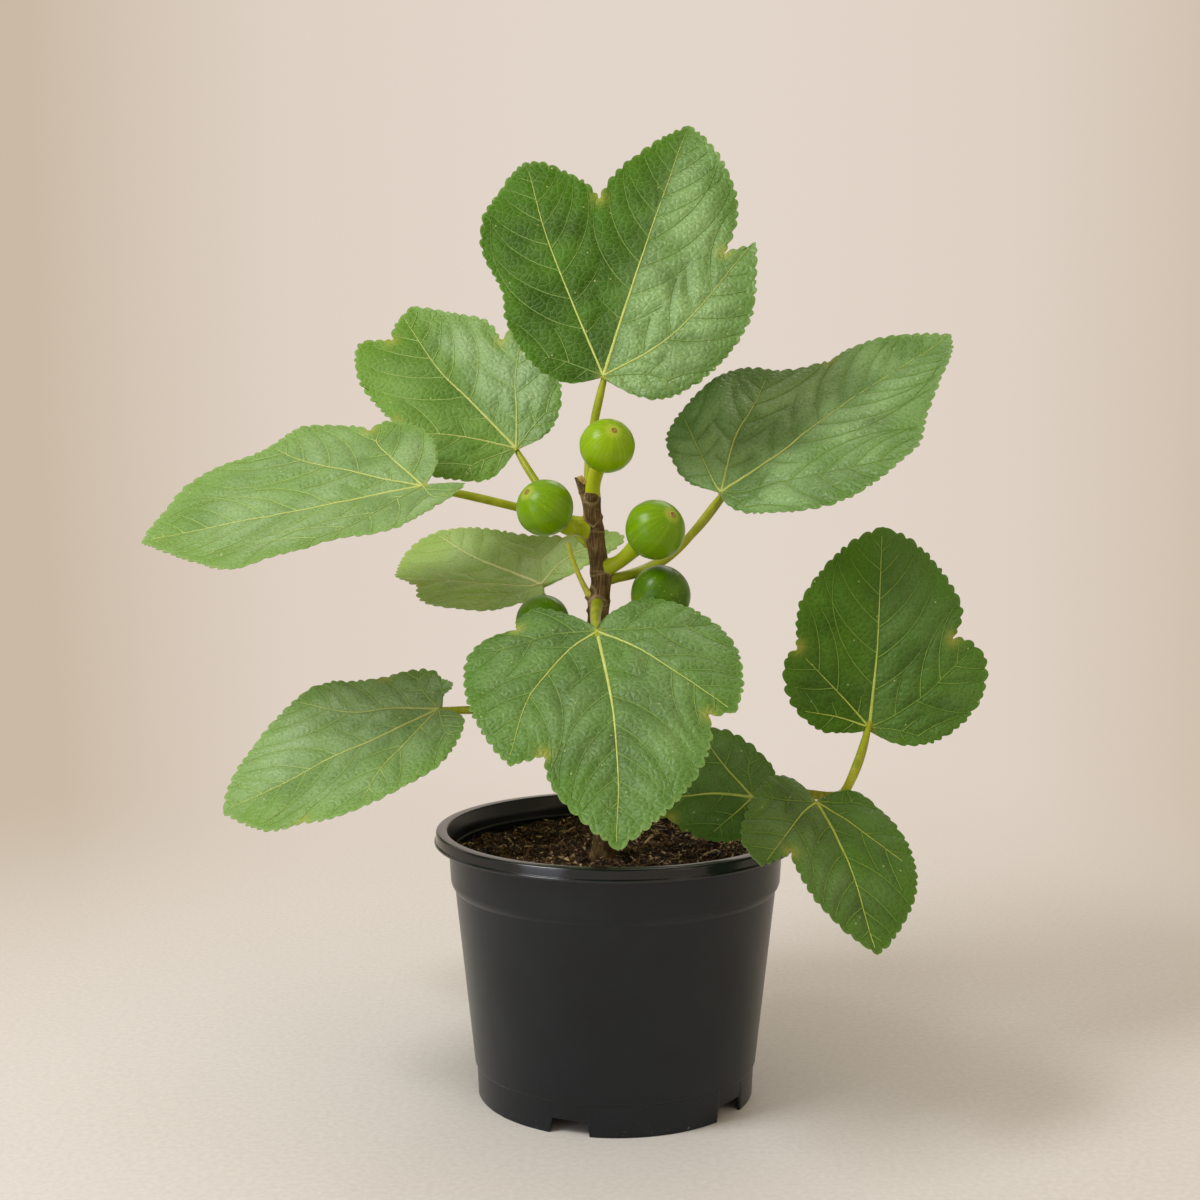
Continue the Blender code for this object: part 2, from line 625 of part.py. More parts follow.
def blade_mesh(name, leaf):
    """An open sheet: the stalk point, then rings that grow out to the leaf's outline."""
    knots = OUTLINES[leaf["outline"]]
    edge = outline_points(knots, STEPS_PER_KNOT)
    length = knots[0][1] * MM
    flat = np.vstack([[(0.0, 0.0)]] + [edge * share for share in BLADE_RINGS])
    points = blade_surface(flat[:, 0], flat[:, 1], length, leaf)
    count = len(edge)
    faces = [(0, 1 + k, 1 + (k + 1) % count) for k in range(count)]
    for k in range(count):
        right = (k + 1) % count
        faces.append((1 + k, 1 + count + k, 1 + count + right, 1 + right))
    mesh = bpy.data.meshes.new(name)
    mesh.from_pydata([tuple(map(float, point)) for point in points], [], faces)
    return mesh


def build_leaf(name, leaf, green):
    """A leaf: a thickened blade placed by its frame, fused with a curved stalk."""
    blade = add_object("blade", blade_mesh("blade", leaf), green)
    blade.location = Vector(leaf["at"]) * MM
    turns = (leaf["roll"], -leaf["rise"], leaf["heading"])
    blade.rotation_euler = Euler([math.radians(turn) for turn in turns])
    thicken = blade.modifiers.new("thickness", "SOLIDIFY")
    thicken.thickness = BLADE_THICKNESS
    thicken.offset = 0
    bpy.context.view_layer.update()

    midrib = np.array(blade.matrix_world.to_3x3() @ Vector((1, 0, 0)))
    junction = np.array(blade.location)
    limb, place, side = leaf["root"]
    start, out = stalk_root(limb, place, side)
    leave = out + np.array([0, 0, leaf["root_lift"]])
    leave *= leaf["root_pull"] * MM / np.linalg.norm(leave)
    end = junction + midrib * STALK_SINK
    arrive = (-midrib - np.array([0, 0, leaf["blade_drop"]])) * leaf["blade_pull"] * MM
    line = bent_line(start, leave, end, arrive, STALK_RINGS)
    radii = np.interp(
        np.linspace(0, 1, STALK_RINGS), (0, 0.25, 0.9, 1),
        (STALK_ROOT_RADIUS, STALK_RADIUS, STALK_RADIUS, 0.6 * STALK_RADIUS),
    )
    mesh = limb_mesh("stalk", line, radii, STALK_SIDES, first_axis=out)
    fuse(name, [blade, add_object("stalk", mesh, green)], green)


def build_bare_stalk(green):
    """The thin stalk of a dropped leaf, standing up from the trunk's left side."""
    start, out = stalk_root("trunk", BARE_STALK_HEIGHT, BARE_STALK_SIDE)
    end = np.array(BARE_STALK_TIP) * MM
    leave, arrive = BARE_STALK_PULLS
    line = bent_line(start, out * leave, end, (leave, 0, -arrive), BARE_STALK_RINGS)
    radii = np.linspace(*BARE_STALK_RADII, BARE_STALK_RINGS)
    mesh = limb_mesh("bare_leaf_stalk", line, radii, STALK_SIDES, first_axis=out)
    add_object("bare_leaf_stalk", mesh, green)


def build_fig(name, fig, skin):
    """A fig as one limb: a short neck that swells into the round body and ends in its eye."""
    centre = np.array(fig["at"]) * MM
    radius = fig["radius"] * MM
    eye = np.array(Vector(fig["eye"]).normalized())
    height, side = fig["root"]
    start, out = stalk_root("trunk", height, side)
    foot = centre - eye * radius * FIG_FOOT_DEPTH
    leave, arrive = np.array(FIG_NECK_PULLS) * np.linalg.norm(foot - start)
    neck = bent_line(start, out * leave, foot, -eye * arrive, FIG_NECK_RINGS + 1)
    first_turn = math.asin(FIG_NECK_JOIN * FIG_NECK_RADIUS / radius)
    turns = np.linspace(first_turn, math.pi, FIG_BODY_RINGS)[:-1]
    body = [centre - eye * radius * math.cos(turn) for turn in turns]
    eye_line = [centre + eye * (radius + FIG_EYE_HEIGHT)]
    line = np.vstack([neck[:-1], body, eye_line])
    neck_radii = [FIG_NECK_RADIUS] * FIG_NECK_RINGS
    body_radii = [radius * math.sin(turn) for turn in turns]
    mesh = limb_mesh(
        name, line, neck_radii + body_radii + [FIG_EYE_RADIUS], FIG_SIDES, first_axis=out
    )
    add_object(name, mesh, skin)


for old in list(bpy.data.objects):
    bpy.data.objects.remove(old)

build_pot()
build_soil()
bark_finish = finish("young fig bark", (98, 78, 62), 0.85)
leaf_finish = finish("fig leaf", (74, 118, 50), 0.55)
fig_finish = finish("unripe fig skin", (98, 152, 32), 0.4)
build_trunk(bark_finish)
build_bough(bark_finish)
for leaf_name, leaf_sizes in LEAVES.items():
    build_leaf(leaf_name, leaf_sizes, leaf_finish)
build_bare_stalk(leaf_finish)
for fig_name, fig_sizes in FIGS.items():
    build_fig(fig_name, fig_sizes, fig_finish)

plant = bpy.data.objects.new("potted_fig_tree", None)
bpy.context.scene.collection.objects.link(plant)
for piece in bpy.context.scene.collection.objects:
    if piece is not plant:
        piece.parent = plant
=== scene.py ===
"""A potted fig tree, dressed round its CAD model.

A young fig with lobed leaves and green figs stands in a black nursery pot. Metres, +Z up; the
origin is under the pot on its axis, and the front faces -Y. Each piece takes the place of the
CAD node that it replaces, and keeps to that node's place and size.
"""

import math

import bpy
import numpy as np
from mathutils import Euler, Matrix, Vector


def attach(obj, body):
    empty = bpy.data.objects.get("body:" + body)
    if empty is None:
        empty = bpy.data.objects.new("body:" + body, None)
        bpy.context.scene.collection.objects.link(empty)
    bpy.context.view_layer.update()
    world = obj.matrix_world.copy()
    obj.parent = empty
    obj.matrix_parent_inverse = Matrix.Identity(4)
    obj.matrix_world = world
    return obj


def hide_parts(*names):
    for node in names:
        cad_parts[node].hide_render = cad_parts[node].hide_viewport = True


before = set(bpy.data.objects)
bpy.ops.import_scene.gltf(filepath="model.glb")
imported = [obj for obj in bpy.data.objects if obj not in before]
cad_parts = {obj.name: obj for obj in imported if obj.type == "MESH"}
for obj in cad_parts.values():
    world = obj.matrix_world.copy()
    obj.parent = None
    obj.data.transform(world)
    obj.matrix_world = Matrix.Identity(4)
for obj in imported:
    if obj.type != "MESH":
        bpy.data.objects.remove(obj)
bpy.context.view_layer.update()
MM = 0.001


# The pot: a thin nursery pot, injection moulded in black polypropylene, with a flat lip, a bead
# inside under it, a collar that stacks on the next pot and a tapering body. It stands on a boss
# and on a foot skirt with five notches, and a hole beside each notch drains it.
WALL = 2.0 * MM
LIP_RADIUS = 120 * MM
LIP_INNER_RADIUS = 111.6 * MM
LIP_TOP = 178 * MM
LIP_BOTTOM = 169.6 * MM
BEAD_RADIUS = 107.6 * MM
BEAD_LEVEL = 163.2 * MM
COLLAR_TOP_RADIUS = 110.6 * MM
COLLAR_RADIUS = 109.2 * MM
COLLAR_BOTTOM = 144.6 * MM
BODY_TOP_RADIUS = 106.4 * MM
BODY_TOP = 139.2 * MM
BODY_BOTTOM_RADIUS = 93.9 * MM
BODY_BOTTOM = 20.8 * MM
FOOT_STEP = 1.2 * MM
FOOT_RADIUS = 91.8 * MM
PLATE_BOTTOM = 11.5 * MM
PLATE_TOP = 13.5 * MM
BOSS_RADIUS = 12 * MM
NOTCH_COUNT = 5
NOTCH_FIRST_ANGLE = math.radians(-108.9)
NOTCH_TOP_HALF = 11.5 * MM / FOOT_RADIUS
NOTCH_FOOT_HALF = 13.5 * MM / FOOT_RADIUS
NOTCH_HEIGHT = 9.8 * MM
DRAIN_RADIUS = 6 * MM
DRAIN_CIRCLE = 72 * MM
POT_COLUMNS = 300


def linear(code):
    """An sRGB hex colour such as "4a6b2c" as the linear RGBA that a shader takes."""
    share = np.array([int(code[place : place + 2], 16) for place in (0, 2, 4)]) / 255
    curve = np.where(share <= 0.04045, share / 12.92, ((share + 0.055) / 1.055) ** 2.4)
    return (*(float(value) for value in curve), 1.0)


def add_node(tree, kind, settings=None, links=None):
    """Add a shader node, set its properties and sockets, and link sockets into its inputs."""
    node = tree.nodes.new("ShaderNode" + kind)
    for key, value in (settings or {}).items():
        if key == "stops":
            for place, code in value[1:-1]:
                node.color_ramp.elements.new(place)
            for element, (place, code) in zip(node.color_ramp.elements, value):
                element.position = place
                element.color = linear(code)
        elif isinstance(key, str) and hasattr(node, key):
            setattr(node, key, value)
        else:
            node.inputs[key].default_value = value
    for key, socket in (links or {}).items():
        tree.links.new(socket, node.inputs[key])
    return node


def new_finish(name, sockets):
    """A material with one Principled shader; returns it, its node tree and the shader."""
    material = bpy.data.materials.new(name)
    material.use_nodes = True
    tree = material.node_tree
    shader = tree.nodes["Principled BSDF"]
    for key, value in sockets.items():
        shader.inputs[key].default_value = value
    return material, tree, shader


def rounded(corners, radii):
    """A profile with each corner turned into an arc that touches both of its sides.

    The arc is drawn as a quadratic curve from the point where it leaves the first side, through
    the pull of the corner, to the point where it meets the second side, and each corner has the
    length that its arc takes from either side.
    """
    rows = [corners[:1]]
    turn = np.linspace(0, 1, 6)[:, None]
    for before, corner, after, radius in zip(corners, corners[1:], corners[2:], radii[1:]):
        sides = before - corner, after - corner
        reach = [min(radius, 0.45 * np.linalg.norm(side)) for side in sides]
        first, last = (corner + side * cut / np.linalg.norm(side) for side, cut in zip(sides, reach))
        rows.append(first * (1 - turn) ** 2 + 2 * corner * turn * (1 - turn) + last * turn**2)
    return np.vstack([*rows, corners[-1:]])


def grid_faces(rows, columns, first=0):
    """Corner numbers of the quads of a grid of points whose last column meets its first."""
    row = np.arange(rows - 1)[:, None] * columns + first
    here = np.arange(columns)
    right = (here + 1) % columns
    quads = [row + here, row + right, row + right + columns, row + here + columns]
    return np.stack(quads, axis=-1).reshape(-1, 4)


def ring_solid(rings):
    """A closed skin over rings of points (rows x columns x 3), with a point closing each end."""
    rows, columns = rings.shape[:2]
    points = np.vstack([rings[0].mean(0), rings.reshape(-1, 3), rings[-1].mean(0)])
    here = np.arange(columns)
    right = (here + 1) % columns
    last = 1 + (rows - 1) * columns
    start = np.stack([np.zeros(columns, int), 1 + right, 1 + here], axis=-1)
    end = np.stack([np.full(columns, rows * columns + 1), last + here, last + right], axis=-1)
    return points, [grid_faces(rows, columns, first=1), start, end]


def joined(solids):
    """Stack solids, each (points, faces, kind), into one: points, faces and each face's kind."""
    points, faces, kinds, count = [], [], [], 0
    for solid_points, solid_faces, kind in solids:
        points.append(solid_points)
        faces += [block + count for block in solid_faces]
        kinds += [np.full(len(block), kind) for block in solid_faces]
        count += len(solid_points)
    return np.vstack(points), faces, np.concatenate(kinds)


def make_piece(name, points, faces, finishes, kinds=None, marks=None, sharp=40):
    """Put points and arrays of faces into one mesh object at the origin.

    kinds is the material number of each face, and marks holds one value or one row of three
    for each point under each name, for materials to read.
    """
    mesh = bpy.data.meshes.new(name)
    corners = np.concatenate([block.ravel() for block in faces]).astype(np.int32)
    sizes = np.concatenate([np.full(len(block), block.shape[1]) for block in faces])
    mesh.vertices.add(len(points))
    mesh.vertices.foreach_set("co", np.asarray(points, np.float32).ravel())
    mesh.loops.add(len(corners))
    mesh.loops.foreach_set("vertex_index", corners)
    mesh.polygons.add(len(sizes))
    starts = np.concatenate([[0], np.cumsum(sizes)[:-1]]).astype(np.int32)
    mesh.polygons.foreach_set("loop_start", starts)
    for finish in finishes:
        mesh.materials.append(finish)
    if kinds is not None:
        mesh.polygons.foreach_set("material_index", np.asarray(kinds, np.int32))
    for key, values in (marks or {}).items():
        values = np.asarray(values, np.float32)
        kind, field = ("FLOAT", "value") if values.ndim == 1 else ("FLOAT_VECTOR", "vector")
        mesh.attributes.new(key, kind, "POINT").data.foreach_set(field, values.ravel())
    mesh.update(calc_edges=True)
    mesh.shade_smooth()
    mesh.set_sharp_from_angle(angle=math.radians(sharp))
    piece = bpy.data.objects.new(name, mesh)
    bpy.context.scene.collection.objects.link(piece)
    return piece


def hang(piece, slot, *nodes):
    """Fix a piece to the plant's one body and hide the nodes it replaces."""
    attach(piece, "root")
    if nodes:
        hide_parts(*nodes)


inner_foot = FOOT_RADIUS - WALL
inner_body_foot = BODY_BOTTOM_RADIUS - FOOT_STEP - WALL
pot_corners = np.array(
    [
        (0, 0), (BOSS_RADIUS, 0), (BOSS_RADIUS + 1.5 * MM, PLATE_BOTTOM),
        (inner_foot, PLATE_BOTTOM), (inner_foot, 0), (FOOT_RADIUS, 0),
        (BODY_BOTTOM_RADIUS - FOOT_STEP, BODY_BOTTOM),
        (BODY_BOTTOM_RADIUS, BODY_BOTTOM + FOOT_STEP),
        (BODY_TOP_RADIUS, BODY_TOP), (COLLAR_RADIUS - 0.8 * MM, COLLAR_BOTTOM - 2.6 * MM),
        (COLLAR_RADIUS, COLLAR_BOTTOM), (COLLAR_TOP_RADIUS, LIP_BOTTOM),
        (LIP_RADIUS, LIP_BOTTOM), (LIP_RADIUS, LIP_BOTTOM + 1.6 * MM),
        (LIP_RADIUS - 0.9 * MM, LIP_BOTTOM + 2.2 * MM), (LIP_RADIUS - 1.1 * MM, LIP_TOP),
        (LIP_INNER_RADIUS, LIP_TOP),
        (COLLAR_TOP_RADIUS - WALL, LIP_BOTTOM),
        (BEAD_RADIUS + 0.7 * MM, BEAD_LEVEL + 1.2 * MM), (BEAD_RADIUS, BEAD_LEVEL + 0.6 * MM),
        (BEAD_RADIUS, BEAD_LEVEL - 0.6 * MM), (BEAD_RADIUS + 0.6 * MM, BEAD_LEVEL - 1.2 * MM),
        (COLLAR_RADIUS - WALL, COLLAR_BOTTOM),
        (BODY_TOP_RADIUS - WALL, BODY_TOP), (inner_body_foot, BODY_BOTTOM),
        (inner_body_foot, PLATE_TOP), (0, PLATE_TOP),
    ]
)
corner_radii = np.array(
    [0, 0.8, 1, 0.8, 0.6, 0.8, 0.4, 0.6, 0.3, 2, 0.8, 0.8, 0.8, 0.5, 0.3, 1.8, 1, 2]
    + [0.4, 0.4, 0.4, 0.4, 2, 2, 1, 1, 0]
)
pot_profile = rounded(pot_corners, corner_radii * MM)[1:-1]
notches = NOTCH_FIRST_ANGLE + np.arange(NOTCH_COUNT) * 2 * math.pi / NOTCH_COUNT
slants = np.array([-NOTCH_FOOT_HALF, -NOTCH_TOP_HALF, NOTCH_TOP_HALF, NOTCH_FOOT_HALF])
turns = np.linspace(0, 2 * math.pi, POT_COLUMNS, endpoint=False)
turns = np.unique(np.concatenate([turns, ((notches[:, None] + slants) % (2 * math.pi)).ravel()]))

# The skirt's foot is lifted over each notch: fully between the notch's upper corners, and in a
# straight slant from there to its foot corners.
off_notch = np.abs((turns[:, None] - notches + math.pi) % (2 * math.pi) - math.pi).min(1)
lift = np.interp(off_notch, (NOTCH_TOP_HALF, NOTCH_FOOT_HALF), (NOTCH_HEIGHT, 0))
radius, height = pot_profile[:, :1], pot_profile[:, 1:]
on_skirt = (height < 2 * MM) & (radius > inner_foot - 2 * MM)
pot_rings = np.stack(
    [radius * np.cos(turns), radius * np.sin(turns), height + on_skirt * lift], axis=-1
)
pot_points, pot_faces = ring_solid(pot_rings)

# Black polypropylene: a soft sheen from a finely etched mould, smoother on the lip, a trace of
# dust, and pale scuffs low down where pots rub against each other. The etching is drawn at
# 0.8 mm, coarser than it is, so that it shows.
plastic, tree, shader = new_finish("black moulded polypropylene", {"IOR": 1.49})
place = add_node(tree, "TexCoord").outputs["Object"]
etch = add_node(tree, "TexNoise", {"Scale": 1 / (0.8 * MM), "Detail": 2.0}, {"Vector": place})
dust = add_node(tree, "TexNoise", {"Scale": 1 / (38 * MM), "Detail": 3.0}, {"Vector": place})
tint = add_node(
    tree, "ValToRGB", {"stops": [(0.3, "080e13"), (0.55, "0b1319"), (0.8, "12191d")]},
    {0: dust.outputs["Fac"]},
)
split = add_node(tree, "SeparateXYZ", links={0: place})
low = add_node(
    tree, "MapRange", {"From Min": 0.0, "From Max": 34 * MM, "To Min": 0.16, "To Max": 0.0},
    {"Value": split.outputs["Z"]},
)
fleck = add_node(tree, "TexNoise", {"Scale": 1 / (2.6 * MM), "Detail": 3.0}, {"Vector": place})
reach = add_node(
    tree, "Math", {"operation": "ADD"}, {0: fleck.outputs["Fac"], 1: low.outputs["Result"]}
)
scuff = add_node(
    tree, "MapRange", {"From Min": 0.8, "From Max": 0.9, "To Max": 0.5},
    {"Value": reach.outputs["Value"]},
)
body_tint = add_node(
    tree, "Mix", {"data_type": "RGBA", 7: linear("8d8a84")},
    {0: scuff.outputs["Result"], 6: tint.outputs["Color"]},
)
gloss = add_node(
    tree, "MapRange", {"To Min": 0.26, "To Max": 0.36}, {"Value": dust.outputs["Fac"]}
)
flat = add_node(tree, "VectorMath", {"operation": "MULTIPLY", 1: (1, 1, 0)}, {0: place})
out = add_node(tree, "VectorMath", {"operation": "LENGTH"}, {0: flat.outputs[0]})
on_lip = add_node(
    tree, "MapRange", {"From Min": LIP_INNER_RADIUS, "From Max": LIP_INNER_RADIUS + MM},
    {"Value": out.outputs["Value"]},
).outputs["Result"]
handled = add_node(tree, "Mix", {3: 0.17}, {0: on_lip, 2: gloss.outputs["Result"]})
shine = add_node(tree, "MapRange", {"To Min": 0.38, "To Max": 0.62}, {"Value": on_lip})
skin = add_node(tree, "Bump", {"Distance": 0.03 * MM}, {"Height": etch.outputs["Fac"]})
tree.links.new(body_tint.outputs[2], shader.inputs["Base Color"])
tree.links.new(handled.outputs[0], shader.inputs["Roughness"])
tree.links.new(shine.outputs["Result"], shader.inputs["Specular IOR Level"])
tree.links.new(skin.outputs["Normal"], shader.inputs["Normal"])

pot = make_piece("moulded_pot", pot_points, pot_faces, [plastic], sharp=50)

# The drain holes: five drills through the base plate, each in line with a notch.
turns = np.linspace(0, 2 * math.pi, 32, endpoint=False)
drills = []
for notch in notches:
    x = DRAIN_CIRCLE * math.cos(notch) + DRAIN_RADIUS * np.cos(turns)
    y = DRAIN_CIRCLE * math.sin(notch) + DRAIN_RADIUS * np.sin(turns)
    levels = PLATE_BOTTOM - 4 * MM, PLATE_TOP + 4 * MM
    rings = np.stack([np.stack([x, y, np.full_like(x, level)], axis=1) for level in levels])
    drills.append((*ring_solid(rings), 0))
drill_points, drill_faces, _ = joined(drills)
drill = make_piece("drain_drill", drill_points, drill_faces, [plastic])
cut = pot.modifiers.new("drain holes", "BOOLEAN")
cut.object = drill
drilled = bpy.data.meshes.new_from_object(pot.evaluated_get(bpy.context.evaluated_depsgraph_get()))
pot.modifiers.clear()
pot.data = drilled
drilled.set_sharp_from_angle(angle=math.radians(50))
bpy.data.objects.remove(drill)
hang(pot, "pot_plastic", "pot")


# The compost: damp shredded bark and fibre that fills the pot to a finger under its lip, lumpy
# on top and mounded a little towards the trunk. Below its top it follows the pot's inside.
BED_LEVEL = 160.5 * MM
BED_MOUND = 1.5 * MM
BED_GAP = 0.3 * MM
TRUNK_FOOT = np.array([-9.0, -24.0]) * MM
BED_COLUMNS = 360


def lumps(across, along, seed, wrap=64):
    """Smooth value noise from 0 to 1: random heights on a lattice of unit cells, eased between
    its corners. It repeats every wrap cells across and every 64 along."""
    table = np.random.default_rng(seed).random((wrap, 64))
    i, j = np.floor(across).astype(int), np.floor(along).astype(int)
    s, t = across - i, along - j
    s, t = s * s * (3 - 2 * s), t * t * (3 - 2 * t)
    left, right, low, high = i % wrap, (i + 1) % wrap, j % 64, (j + 1) % 64
    near = table[left, low] * (1 - s) + table[right, low] * s
    far = table[left, high] * (1 - s) + table[right, high] * s
    return near * (1 - t) + far * t


def bed_height(x, y):
    """The compost's top: a level with a low mound round the trunk, plus lumps of three sizes."""
    away = np.hypot(x - TRUNK_FOOT[0], y - TRUNK_FOOT[1])
    rough = (
        4.0 * lumps(x / (19 * MM), y / (19 * MM), 11)
        + 5.0 * lumps(x / (8 * MM), y / (8 * MM), 12)
        + 2.4 * lumps(x / (3.4 * MM), y / (3.4 * MM), 13) - 5.7
    )
    return BED_LEVEL + BED_MOUND * np.exp(-((away / (45 * MM)) ** 2)) + rough * MM


edge = COLLAR_TOP_RADIUS - WALL - BED_GAP - 0.9 * MM
turns = np.linspace(0, 2 * math.pi, BED_COLUMNS, endpoint=False)
steps = np.linspace(0, 1, 121)[1:, None] ** 0.8 * edge
top_x, top_y = steps * np.cos(turns), steps * np.sin(turns)
top = np.stack([top_x, top_y, bed_height(top_x, top_y)], axis=-1)
side_radii = np.array([COLLAR_RADIUS, BODY_TOP_RADIUS, inner_body_foot + WALL]) - WALL - BED_GAP
sides = [
    np.stack([np.cos(turns) * reach, np.sin(turns) * reach, np.full_like(turns, level)], axis=-1)
    for reach, level in zip(
        [*side_radii, side_radii[2]], (COLLAR_BOTTOM, BODY_TOP, BODY_BOTTOM, PLATE_TOP + BED_GAP)
    )
]
bed_points, bed_faces = ring_solid(np.concatenate([top, np.stack(sides)])[::-1])

# Damp bark compost: dark brown on the lumps and near black in the hollows, painted shade, quite
# matt.
compost, tree, shader = new_finish(
    "damp bark compost", {"Roughness": 0.75, "Specular IOR Level": 0.2}
)
place = add_node(tree, "TexCoord").outputs["Object"]
grit = add_node(tree, "TexNoise", {"Scale": 1 / (1.6 * MM), "Detail": 4.0}, {"Vector": place})
tint = add_node(
    tree, "ValToRGB", {"stops": [(0.36, "0a0603"), (0.52, "2a1c10"), (0.68, "6b5236")]},
    {0: grit.outputs["Fac"]},
)
rough = add_node(tree, "Bump", {"Distance": 0.8 * MM}, {"Height": grit.outputs["Fac"]})
tree.links.new(tint.outputs["Color"], shader.inputs["Base Color"])
tree.links.new(rough.outputs["Normal"], shader.inputs["Normal"])

bed = make_piece("compost_bed", bed_points, bed_faces, [compost], sharp=60)
hang(bed, "potting_soil", "soil")


# The loose top of the compost: shreds of bark and fibre that lie at all angles on the bed and
# half in it, crumbs between them, and a few pale grains of grit. Shreds and crumbs come in three
# browns.
SHRED_COUNT = 3200
CRUMB_COUNT = 5000
GRAIN_COUNT = 260


def turned_by(yaw, pitch, roll):
    """Rotation matrices (count x 3 x 3) that roll about X, then pitch about Y, then turn by yaw."""
    flat, tall, level = np.zeros_like(yaw), np.ones_like(yaw), (np.cos, np.sin)
    (cy, sy), (cp, sp), (cr, sr) = ([wave(turn) for wave in level] for turn in (yaw, pitch, roll))
    about_z = np.stack([cy, -sy, flat, sy, cy, flat, flat, flat, tall], -1).reshape(-1, 3, 3)
    about_y = np.stack([cp, flat, sp, flat, tall, flat, -sp, flat, cp], -1).reshape(-1, 3, 3)
    about_x = np.stack([tall, flat, flat, flat, cr, -sr, flat, sr, cr], -1).reshape(-1, 3, 3)
    return about_z @ about_y @ about_x


def strewn(shape, faces, scales, places, spins):
    """Many copies of one small shape as joined arrays, each scaled, spun and put in its place."""
    copies = np.einsum("nij,npj->npi", spins, shape[None] * scales[:, None]) + places[:, None]
    shift = np.arange(len(places))[:, None, None] * len(shape)
    return copies.reshape(-1, 3), (faces[None] + shift).reshape(-1, faces.shape[1])


def bed_places(count, draw, lift):
    """Random places on the compost, evenly by area, off the trunk and a little above the bed."""
    reach = (edge - 3 * MM) * np.sqrt(draw.random(count))
    turn = draw.random(count) * 2 * math.pi
    x, y = reach * np.cos(turn), reach * np.sin(turn)
    away = np.stack([x, y], 1) - TRUNK_FOOT
    far = np.linalg.norm(away, axis=1)
    push = np.maximum(0, 8.5 * MM - far) / np.maximum(far, 0.1 * MM)
    x, y = x + away[:, 0] * push, y + away[:, 1] * push
    return np.stack([x, y, bed_height(x, y) + lift * MM], axis=1)


draw = np.random.default_rng(5)
along = np.repeat([-1.0, -0.45, 0.4, 1.0], 4)
half_width = np.repeat([0.3, 1.0, 0.85, 0.25], 4)
corner_y, corner_z = np.tile([-1, 1, 1, -1], 4), np.tile([-1, -1, 1, 1], 4)
shred = np.stack([along, corner_y * half_width, corner_z * half_width - 1.2 * along**2], axis=1)
ends = np.array([[3, 2, 1, 0], [12, 13, 14, 15]])
shred_faces = np.vstack([grid_faces(4, 4), ends])
lengths = 6.5 * MM * draw.uniform(0.42, 1, SHRED_COUNT) ** 2
widths = draw.uniform(0.22, 0.8, SHRED_COUNT) * MM
scales = np.stack([lengths, widths, widths * draw.uniform(0.3, 0.7, SHRED_COUNT)], axis=1)
spins = turned_by(
    draw.random(SHRED_COUNT) * 2 * math.pi, draw.normal(0, 0.4, SHRED_COUNT),
    draw.normal(0, 0.8, SHRED_COUNT),
)
places = bed_places(SHRED_COUNT, draw, draw.uniform(-0.3, 1.2, SHRED_COUNT))
shred_points, shred_quads = strewn(shred, shred_faces, scales, places, spins)
shred_kinds = draw.choice(3, SHRED_COUNT, p=[0.5, 0.35, 0.15]).repeat(len(shred_faces))

# Crumbs: octahedra squashed and turned at random, sunk in the bed by up to half.
octahedron = np.array([(1, 0, 0), (0, 1, 0), (-1, 0, 0), (0, -1, 0), (0, 0, 1), (0, 0, -1)], float)
ring = np.arange(4)
after = (ring + 1) % 4
lid = np.stack([ring, after, np.full(4, 4)], axis=1)
octahedron_faces = np.vstack([lid, np.stack([after, ring, np.full(4, 5)], axis=1)])
sizes = 1.9 * MM * draw.uniform(0.5, 1, (CRUMB_COUNT, 1)) ** 2
scales = sizes * draw.uniform(0.5, 1.0, (CRUMB_COUNT, 3))
spins = turned_by(*draw.uniform(0, 2 * math.pi, (3, CRUMB_COUNT)))
places = bed_places(CRUMB_COUNT, draw, draw.uniform(-0.4, 0.9, CRUMB_COUNT))
crumb_points, crumb_faces = strewn(octahedron, octahedron_faces, scales, places, spins)
crumb_kinds = draw.choice(3, CRUMB_COUNT, p=[0.54, 0.34, 0.12]).repeat(len(octahedron_faces))

# Shredded bark: plain browns dealt out by shred and by crumb, matt, with a fine fibrous surface.
barks = []
for name, code in (("black bark", "2a1c10"), ("brown bark", "735638"), ("tan fibre", "c8ad82")):
    finish, tree, shader = new_finish(
        name, {"Roughness": 0.6, "Specular IOR Level": 0.25, "Base Color": linear(code)}
    )
    place = add_node(tree, "TexCoord").outputs["Object"]
    fibre = add_node(tree, "TexNoise", {"Scale": 1 / (0.5 * MM), "Detail": 2.0}, {"Vector": place})
    rough = add_node(tree, "Bump", {"Distance": 0.15 * MM}, {"Height": fibre.outputs["Fac"]})
    tree.links.new(rough.outputs["Normal"], shader.inputs["Normal"])
    barks.append(finish)
shreds = make_piece(
    "compost_shreds", np.vstack([shred_points, crumb_points]),
    [shred_quads, crumb_faces + len(shred_points)], barks,
    kinds=np.concatenate([shred_kinds, crumb_kinds]),
)
hang(shreds, "potting_soil")

# Grains of pumice grit: small pale lumps, each an octahedron squashed at random.
scales = draw.uniform(0.35, 1.0, (GRAIN_COUNT, 1)) * draw.uniform(0.6, 1.0, (GRAIN_COUNT, 3)) * MM
spins = turned_by(*draw.uniform(0, 2 * math.pi, (3, GRAIN_COUNT)))
places = bed_places(GRAIN_COUNT, draw, draw.uniform(0.3, 1.4, GRAIN_COUNT))
grain_points, grain_faces = strewn(octahedron, octahedron_faces, scales, places, spins)
pumice, tree, shader = new_finish("pumice grit", {"Roughness": 0.9, "Base Color": linear("a08a6c")})
grains = make_piece("pumice_grains", grain_points, [grain_faces], [pumice])
hang(grains, "potting_soil")


